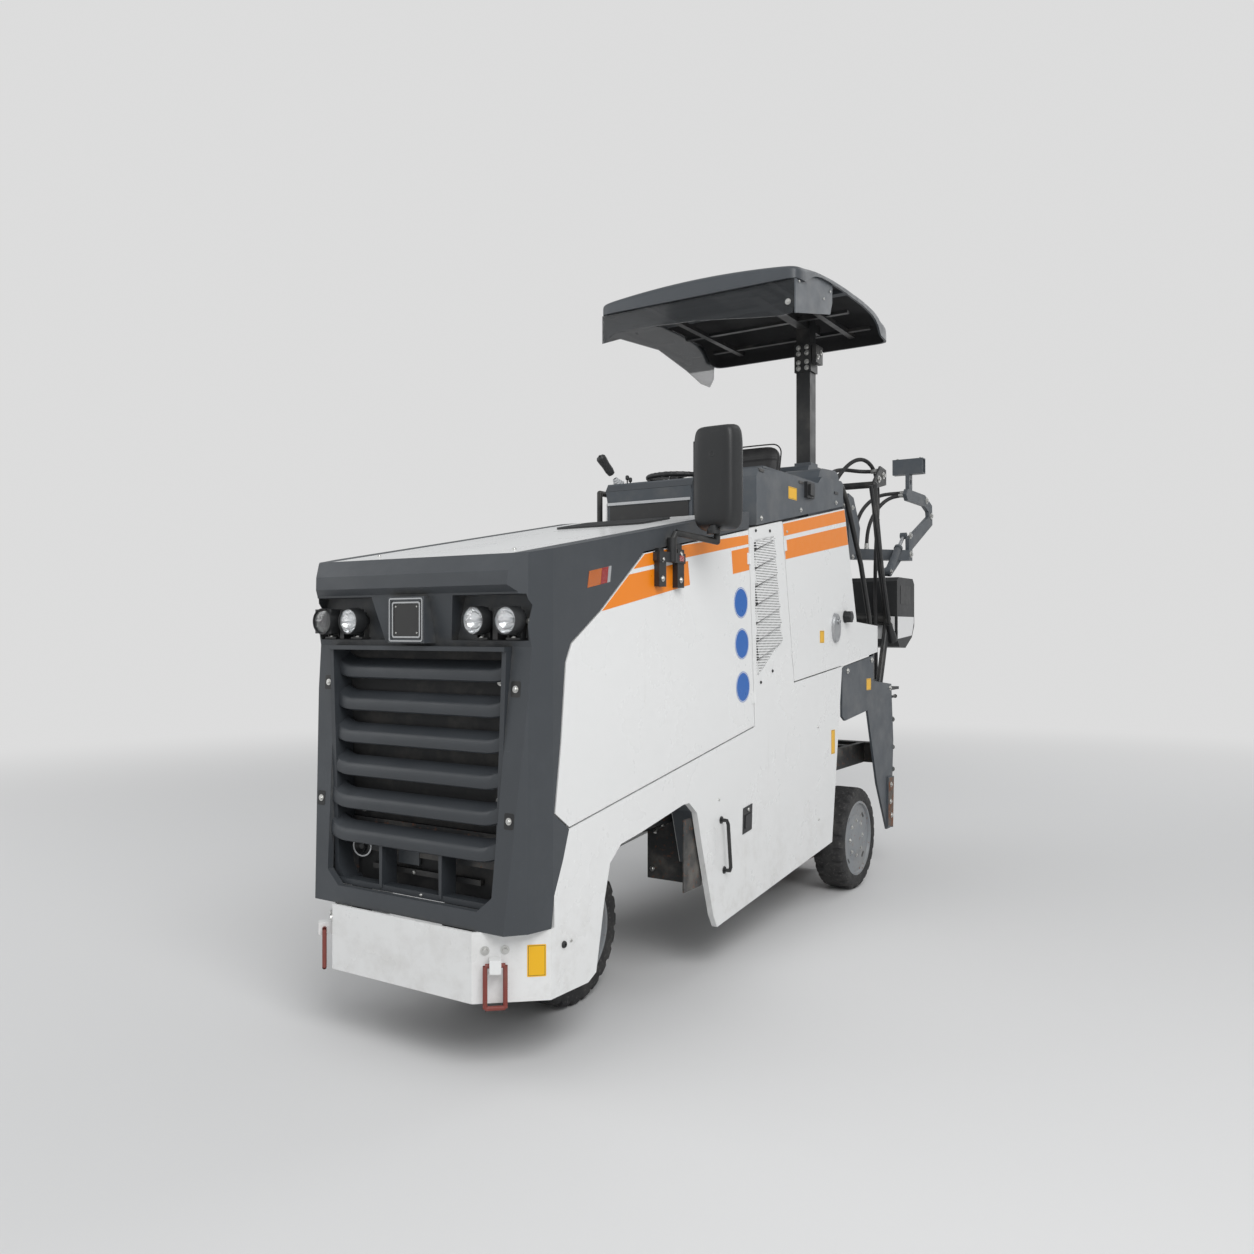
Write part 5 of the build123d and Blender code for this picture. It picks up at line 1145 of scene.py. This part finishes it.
# ---- canopy
HALF_ROOF, ROOF_FRONT, ROOF_REAR = 675, 2420, 4020
ROOF_LINE = (
    (2420, 3822), (2520, 3838), (2720, 3862), (2960, 3886), (3200, 3900), (3480, 3905), (3720, 3899),
    (3940, 3868), (4020, 3846),
)
ROOF_ARCH = (
    (2420, 3700), (2550, 3702), (2630, 3752), (2720, 3786), (2860, 3803), (3100, 3815), (3500, 3820),
    (3680, 3806), (3780, 3776), (3850, 3708), (4020, 3700),
)
ROOF_CROWN = 45.0
ROOF_SHEET = 14.0
VISOR = (
    (-650, 3712), (650, 3712), (650, 3545), (636, 3505), (560, 3500), (420, 3512), (210, 3538), (0, 3560),
    (-280, 3574), (-560, 3580), (-650, 3530),
)
shell = Fitting("canopy_shell", "canopy", "grey_plastic")
for inset, finish in ((0, CANOPY_SHELL), (ROOF_SHEET, LINING)):
    part = blocky((1, 1, 1), 9.0, 26.0, 32, flat_foot=True)
    under = [f for f in part.faces if all(v.co.z < 1e-4 for v in f.verts)]
    bmesh.ops.delete(part, geom=under, context="FACES")
    for v in part.verts:
        x, y, rise = v.co
        d = (ROOF_FRONT + ROOF_REAR) / 2 + y * ((ROOF_REAR - ROOF_FRONT) / 2 - inset)
        foot = along_line(ROOF_ARCH, d)
        top = along_line(ROOF_LINE, d) - ROOF_CROWN * x * x - inset
        v.co = at(x * (HALF_ROOF - inset), d, foot + rise * (top - foot))
    if inset:
        bmesh.ops.reverse_faces(part, faces=part.faces)
    shell.use(finish).merge(part, turn_faces=False)
bmesh.ops.bridge_loops(shell.bm, edges=[e for e in shell.bm.edges if e.is_boundary])
shell.use(SMOKED).along_y(2436, VISOR, 8, 2)
shell.use(CANOPY_SHELL).block((-655, 3190, 3822), (655, 3250, 3850), 4)
shell.done(sharp=50, stands_for=("canopy_roof",))

roof = Fitting("canopy_details", "canopy", "grey_plastic")
roof.use(BLACK_PAINT_AND_SHADE)
for x in (-430, 430):
    roof.block((x - 20, 2470, 3752), (x + 20, 3960, 3782), 4)
for d in (2560, 3000, 3420, 3840):
    roof.block((-600, d - 18, 3762), (600, d + 18, 3782), 4)
roof.use(BLACK_MOULDED).block((-20, 2700, 3772), (330, 2960, 3800), 8)
roof.use(ZINC).bolt(ahead(612, 2434, 3570), 10)
roof.use(BLACK_PAINT_AND_SHADE).block((288, 3570, 3520), (318, 3690, 3640), 4)
roof.use(ZINC).bolt(aside(318, 3600, 3560), 10).bolt(aside(318, 3660, 3600), 10)
for z in (3490, 3530, 3590, 3630):
    roof.bolt(ahead(250, 3570, z), 10).bolt(ahead(190, 3570, z), 10)
for sign in (1, -1):
    for d, z in ((2480, 3690), (2850, 3690), (2950, 3760)):
        roof.screw(aside(sign * 660, d, z, sign), 8)
roof.done()

# ---- rear
tail = Fitting("tail_details", "chassis", "black_paint")
tail.use(ZINC).bolt(aside(507, 4290, 2800), 15).bolt(aside(507, 4390, 2838), 15)
clamp = ((4190, 2740), (4240, 2728), (4455, 2775), (4455, 2885), (4330, 2900), (4190, 2775))
tail.use(BLACK_PAINT_AND_SHADE).along_x(493, clamp, 14, 2).block((508, 4210, 2742), (516, 4262, 2772))
# white band, blank plate and lamps of the light box
light_box_side = ((4556, 1640), (4556, 1806), (4944, 1806), (4944, 1764), (4892, 1664))
tail.use(SIGN_WHITE).along_x(560, light_box_side, 1.6, 0.6).along_x(190, light_box_side, -1.6, 0.6)
tail.along_y(4540, ((208, 1640), (542, 1640), (542, 1806), (208, 1806)), -1.6, 0.6)
tail.along_y(4960, ((208, 1778), (542, 1778), (542, 1822), (208, 1822)), 1.6, 0.6)
tail.use(BLACK_FILM_AND_SHADE).along_x(561, ((4620, 1900), (4620, 2040), (4860, 2040), (4860, 1900)), 1)
for x, material in ((270, LENS_RED), (375, LENS_ORANGE), (480, LENS_CLEAR)):
    rear = astern(x, 4960, 1950)
    tail.use(BLACK_MOULDED).lathe([(0, 0), (49, 0), (49, 10), (44, 12), (44, 4), (0, 4)], rear, 36)
    tail.use(material).lathe([(0, 5), (43.5, 5), (43.5, 10), (32, 18), (14, 21), (0, 22)], rear, 36)
# long tube with a flared boot, from the clamp plate down to the light box
drop = [at(*p) for p in (
    (530, 4050, 2724), (534, 4110, 2560), (538, 4230, 2240), (540, 4350, 1900), (538, 4430, 1740),
    (534, 4500, 1640),
)]
tail.use(BLACK_PAINT_AND_SHADE).tube(drop, 14, order=4)
boot = place(at(538, 4424, 1752), at(534, 4500, 1640) - at(538, 4424, 1752))
tail.use(BLACK_MOULDED).lathe(
    [(14.5, 0), (22, 4), (24, 50), (36, 110), (38, 150), (30, 156), (14.5, 150)], boot
)
SIDE_PLATE_FACE, WEAR_PLATE_FACE = 595, 608.2
# bracket and grey sheets behind the cabinet
tail.use(SLATE_PAINT).block((300, 3764, 2150), (470, 3770, 2640))
tail.along_x(470, ((3764, 2180), (3960, 2260), (3990, 2420), (3860, 2620), (3764, 2640)), 5, 2).use(ZINC)
for z in (2220, 2560):
    tail.bolt(ahead(440, 3764, z), 10).bolt(aside(475, 3840, z - 10), 10)
for side, sign in SIDES:
    edge = ((4196, 316), (4298, 292), (4318, 646), (4206, 652))
    tail.use(STEEL_WORN).along_x(sign * 607, edge, sign * 1.2).use(ZINC)
    for d, z in ((4250, 600), (4240, 480), (4262, 380), (3420, 1440), (3880, 1500), (4270, 1290)):
        face = WEAR_PLATE_FACE if z < 700 else SIDE_PLATE_FACE
        tail.bolt(aside(sign * face, d, z, sign), 11)
    tail.use(BLACK_PAINT_AND_SHADE).lathe(
        [(0, 0), (10, 0), (10, 85), (14, 85), (14, 92), (0, 92)], astern(sign * 588, 4318, 1224), 18
    )
    for z in (1060, 860, 700):
        tail.use(ZINC).bolt(astern(sign * 588, 4340, z), 11)
    tail.use(BLACK_PAINT_AND_SHADE).block((sign * 430, 4006, 1290), (sign * 560, 4040, 1310), 3)
tail.done()

lever = Fitting("lever_pins", "conveyor_carrier", "slate_paint")
lever.use(ZINC)
for side, sign in SIDES:
    for d, z in ((5020, 2300), (5005, 2445), (5440, 2765), (5570, 2650)):
        lever.bolt(aside(sign * 515, d, z, sign), 16)
    for reach in (-90, 90):
        lever.bolt(above(sign * 500 + reach, 5020, 3045), 10)
lever.use(BLACK_PAINT_AND_SHADE).lathe([(46, 0), (60, 0), (60, 30), (46, 30)], above(0, 4420, 1700), 36)
for nut in range(6):
    lever.use(ZINC).bolt(above(0, 4420, 1320.3) @ turned(60 * nut) @ move(70), 9)
lever.done()

# ---- lift cylinders, lever heads and hoses
BARREL_EYE = (440, 4700, 2150)      # lower eye of a lift cylinder
ROD_EYE = (462, 5005, 2445)
EYE_PLATE = (
    (4940, 2330), (4690, 2195), (4662, 2150), (4690, 2115), (4740, 2115), (4990, 2250), (4990, 2330),
)
lift = Fitting("lift_gear", "conveyor_carrier", "slate_paint")
for side, sign in SIDES:
    eye, pin = [at(sign * x, d, z) for x, d, z in (BARREL_EYE, ROD_EYE)]
    along = place(eye, pin - eye)
    reach = 1000 * (pin - eye).length
    lift.use(SLATE_PAINT).along_x(sign * 440 - 8, EYE_PLATE, 16, 2)
    neck, mouth = 0.62 * reach, 0.67 * reach
    lift.lathe([(0, 0), (28, 0), (28, neck), (33, neck), (33, mouth), (0, mouth)], along)
    lift.use(CHROME).disc(along, 14, reach, 20, foot=0.66 * reach)
    for centre, radius, width in ((eye, 34, 44), (pin, 26, 46)):
        boss = place(centre - Vector((width / 2000, 0, 0)), (1, 0, 0))
        lift.use(SLATE_PAINT).disc(boss, radius, width)
    lift.use(ZINC).bolt(aside(sign * 463, *BARREL_EYE[1:], sign), 12)
    head = [
        [at(sign * 500 - 120, 5020 + a, 2985 + b) for a, b in ((-w, -h), (w, -h), (w, h), (-w, h))]
        for w, h in ((35, 60), (27, 52))
    ]
    lift.use(SLATE_PAINT).ring(*head, (240, 0, 0))
lift.done()

# points that each hose runs by
FRAME_ROUTES = (
    (
        (270, 3761, 2640), (270, 3855, 2640), (285, 3950, 2720), (318, 4040, 2840), (370, 4140, 2930),
        (420, 4240, 2950), (455, 4340, 2890), (462, 4400, 2780), (455, 4425, 2600), (440, 4432, 2400),
        (428, 4440, 2180), (430, 4432, 1960), (432, 4438, 1780), (428, 4452, 1600), (421, 4474, 1460),
        (418, 4482, 1370), (418, 4482, 1290),
    ),
    (
        (215, 3761, 2700), (215, 3850, 2700), (220, 3930, 2765), (240, 4050, 2845), (275, 4170, 2875),
        (335, 4265, 2868), (410, 4300, 2860), (493, 4300, 2860),
    ),
    (
        (160, 3761, 2560), (160, 3855, 2560), (178, 3935, 2625), (222, 4005, 2706), (250, 4080, 2750),
        (250, 4177, 2750),
    ),
)
CARRIER_ROUTES = (
    (
        (250, 4755, 2330), (250, 4755, 2440), (262, 4800, 2560), (298, 4878, 2662), (345, 4938, 2732),
        (405, 4968, 2758), (485, 4968, 2758),
    ),
    (
        (180, 4670, 2330), (180, 4670, 2450), (194, 4712, 2585), (238, 4790, 2690), (285, 4880, 2750),
        (325, 4955, 2776), (395, 5000, 2782), (485, 5000, 2782),
    ),
)
FERRULE = [(14, 1), (19, 1), (19, 18), (16.5, 20), (16.5, 48), (14, 48)]
for name, body, routes in (
    ("frame_hose_lines", "chassis", FRAME_ROUTES),
    ("carrier_hose_lines", "conveyor_carrier", CARRIER_ROUTES),
):
    lines = Fitting(name, body, "black_plastic")
    for route in routes:
        points = [at(*point) for point in route]
        lines.use(HOSE).tube(points, 14.5, order=4).use(ZINC)
        for end, inner in ((points[0], points[1]), (points[-1], points[-2])):
            lines.lathe(FERRULE, place(end, inner - end, (0.3, 1, 0.2)), 20)
    lines.done()

# ---- hood
bonnet = Fitting("hood_details", "hood", "white_panel")
HOOD_FOOT = 1982.0          # height of the hood's plane, run forward to the bumper's face
SLOPE_OUT = (0, -math.sin(math.atan(SLOPE)), math.cos(math.atan(SLOPE)))
top = place(at(0, 1560, HOOD_FOOT + SLOPE * 1560), SLOPE_OUT, (0, 1, 0))
bonnet.use(BLACK_FILM_AND_SHADE).slab(top, 520, 300, 30, 1).use(BLACK_MOULDED)
for bar in range(11):
    bonnet.pad(top @ move(0, -130 + 26 * bar, 0) @ turned(24, "X"), 500, 14, 9, 2)
bonnet.rim(top, (540, 320, 36), (508, 288, 26), 11).use(ZINC)
for x in (-380, 380):
    for d in (260, 1800):
        bonnet.screw(place(at(x, d, HOOD_FOOT + SLOPE * d), SLOPE_OUT), 9)
bonnet.done()

# ---- stage
BACKDROP = (0.72, 0.72, 0.72, 1.0)      # how pale the floor and the background run out
floor_form = bmesh.new()
bmesh.ops.create_grid(floor_form, x_segments=1, y_segments=1, size=60.0)
floor_mesh = bpy.data.meshes.new("studio_floor")
floor_form.to_mesh(floor_mesh)
floor_form.free()
f = Finish("floor_pale", (0.70, 0.70, 0.70), 0.85)
far = f.band(f.vector("LENGTH", f.coords), 4.0, 13.0)
glow = f.add("Emission", {"Color": BACKDROP})
fade = f.add("MixShader", {"Fac": far, 1: f.shader.outputs[0], 2: glow.outputs[0]})
fill_sockets(f.tree, f.tree.nodes["Material Output"], {"Surface": fade.outputs[0]})
floor_mesh.materials.append(f.material)
link_new("studio_floor", floor_mesh)

world = bpy.data.worlds.new("studio")
bpy.context.scene.world = world
world.use_nodes = True
tree = world.node_tree
sky = fill_sockets(tree, tree.nodes["Background"], {"Color": (0.97, 0.985, 1.0, 1.0), "Strength": 0.50})
seen = fill_sockets(tree, tree.nodes.new("ShaderNodeBackground"), {"Color": BACKDROP})
path = tree.nodes.new("ShaderNodeLightPath")
mix = fill_sockets(tree, tree.nodes.new("ShaderNodeMixShader"), {
    "Fac": path.outputs["Is Camera Ray"], 1: sky.outputs[0], 2: seen.outputs[0],
})
fill_sockets(tree, tree.nodes["World Output"], {"Surface": mix.outputs[0]})

# name, place, what it looks at, side in metres, watts
for name, spot, aim, side, power in (
    ("key", (6.5, -7.0, 8.0), (0, -1.0, 1.2), 6.0, 620.0),
    ("fill", (-7.0, -6.0, 5.0), (0, -1.0, 1.0), 7.0, 160.0),
    ("rim", (2.0, 8.0, 7.0), (0, 0, 1.5), 6.0, 180.0),
):
    data = bpy.data.lights.new(name, "AREA")
    data.size = side
    data.energy = power
    lamp = link_new(name, data)
    lamp.location = spot
    lamp.rotation_euler = (Vector(aim) - Vector(spot)).to_track_quat("-Z", "Y").to_euler()

# camera fitted to the photograph: heading and pitch in degrees, lens in millimetres
HEADING, PITCH = math.radians(32.61), math.radians(0.18)
camera = link_new("camera", bpy.data.cameras.new("camera"))
camera.data.lens = 29.51
camera.data.sensor_width = 36.0
camera.location = at(2984, -2970, 1704)
look = Vector((-math.sin(HEADING) * math.cos(PITCH), math.cos(HEADING) * math.cos(PITCH), math.sin(PITCH)))
camera.rotation_euler = look.to_track_quat("-Z", "Y").to_euler()
bpy.context.scene.camera = camera
bpy.context.scene.view_settings.view_transform = "Standard"
